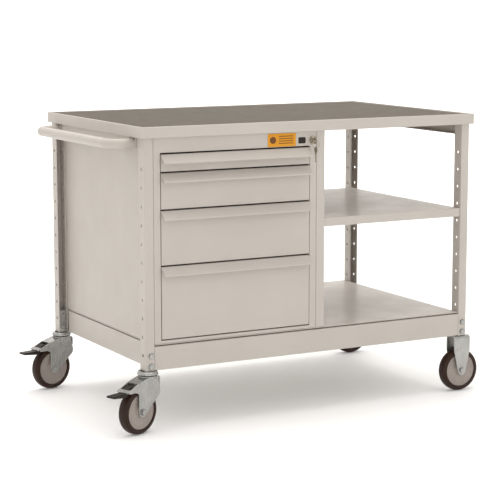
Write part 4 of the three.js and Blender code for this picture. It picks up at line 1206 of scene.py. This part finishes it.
sweep_line = filleted([(-9.0, 0.0), (7.0, 0.0), (7.0, 6.0)], [0, 3.0, 0], 16, closed=False)
run = np.linspace(-12, 12, 9)
grid = np.stack(np.broadcast_arrays(run[None, :], sweep_line[:, :1], sweep_line[:, 1:]), -1).reshape(-1, 3)
rows, wide = len(sweep_line), len(run)
i, j = np.meshgrid(np.arange(rows - 1), np.arange(wide - 1), indexing="ij")
cell = (i * wide + j).ravel()
floor_mesh = bpy.data.meshes.new("studio_floor")
floor_quads = np.stack([cell, cell + 1, cell + wide + 1, cell + wide], 1)
floor_mesh.from_pydata(grid.tolist(), [], floor_quads.tolist())
floor_mesh.materials.append(floor_material())
floor_mesh.shade_smooth()
floor = bpy.data.objects.new("studio_floor", floor_mesh)
floor.location.z = -0.0005
floor.rotation_euler.z = -CAMERA_YAW
bpy.context.scene.collection.objects.link(floor)
print("floor, m:", round(float(np.ptp(grid[:, 0])), 1), "by", round(float(np.ptp(grid[:, 1])), 1))

# %% [markdown]
# Four square lights and a bright plain sky. The key is high at the front and a little warm. The fill
# is low and a little cool, and reaches under the shelf. The light behind lifts the deck and shelf
# by reflection, and the one above keeps the mat even.

# %% Lights
def soft_light(name, place, aim, size, power, color=(1, 1, 1)):
    """A square area light that looks at a point."""
    data = bpy.data.lights.new(name, "AREA")
    data.energy, data.size, data.color = power, size, color
    light = bpy.data.objects.new(name, data)
    light.location = place
    direction = np.array(aim, float) - np.array(place, float)
    yaw = math.atan2(direction[0], -direction[1])
    pitch = math.atan2(math.hypot(direction[0], direction[1]), -direction[2])
    light.rotation_euler = (pitch, 0, yaw)
    bpy.context.scene.collection.objects.link(light)


soft_light("key_light", (-1.1, -3.9, 3.2), (0, 0, 0.5), 2.6, 168, (1.0, 0.96, 0.88))
soft_light("fill_light", (0.9, -4.7, 1.5), (0.1, 0, 0.45), 2.6, 108, (0.94, 0.975, 1.0))
soft_light("back_light", (1.3, 3.6, 1.7), (0.2, 0, 0.4), 2.6, 85, (1.0, 0.95, 0.88))
soft_light("top_light", (0.2, 0.4, 4.2), (0, 0, 0.6), 3.0, 92, (1.0, 0.98, 0.95))
world = bpy.data.worlds.new("studio")
world.use_nodes = True
world.node_tree.nodes["Background"].inputs["Color"].default_value = (1.0, 0.986, 0.962, 1)
world.node_tree.nodes["Background"].inputs["Strength"].default_value = 1.0
bpy.context.scene.world = world
bpy.context.scene.view_settings.view_transform = "Standard"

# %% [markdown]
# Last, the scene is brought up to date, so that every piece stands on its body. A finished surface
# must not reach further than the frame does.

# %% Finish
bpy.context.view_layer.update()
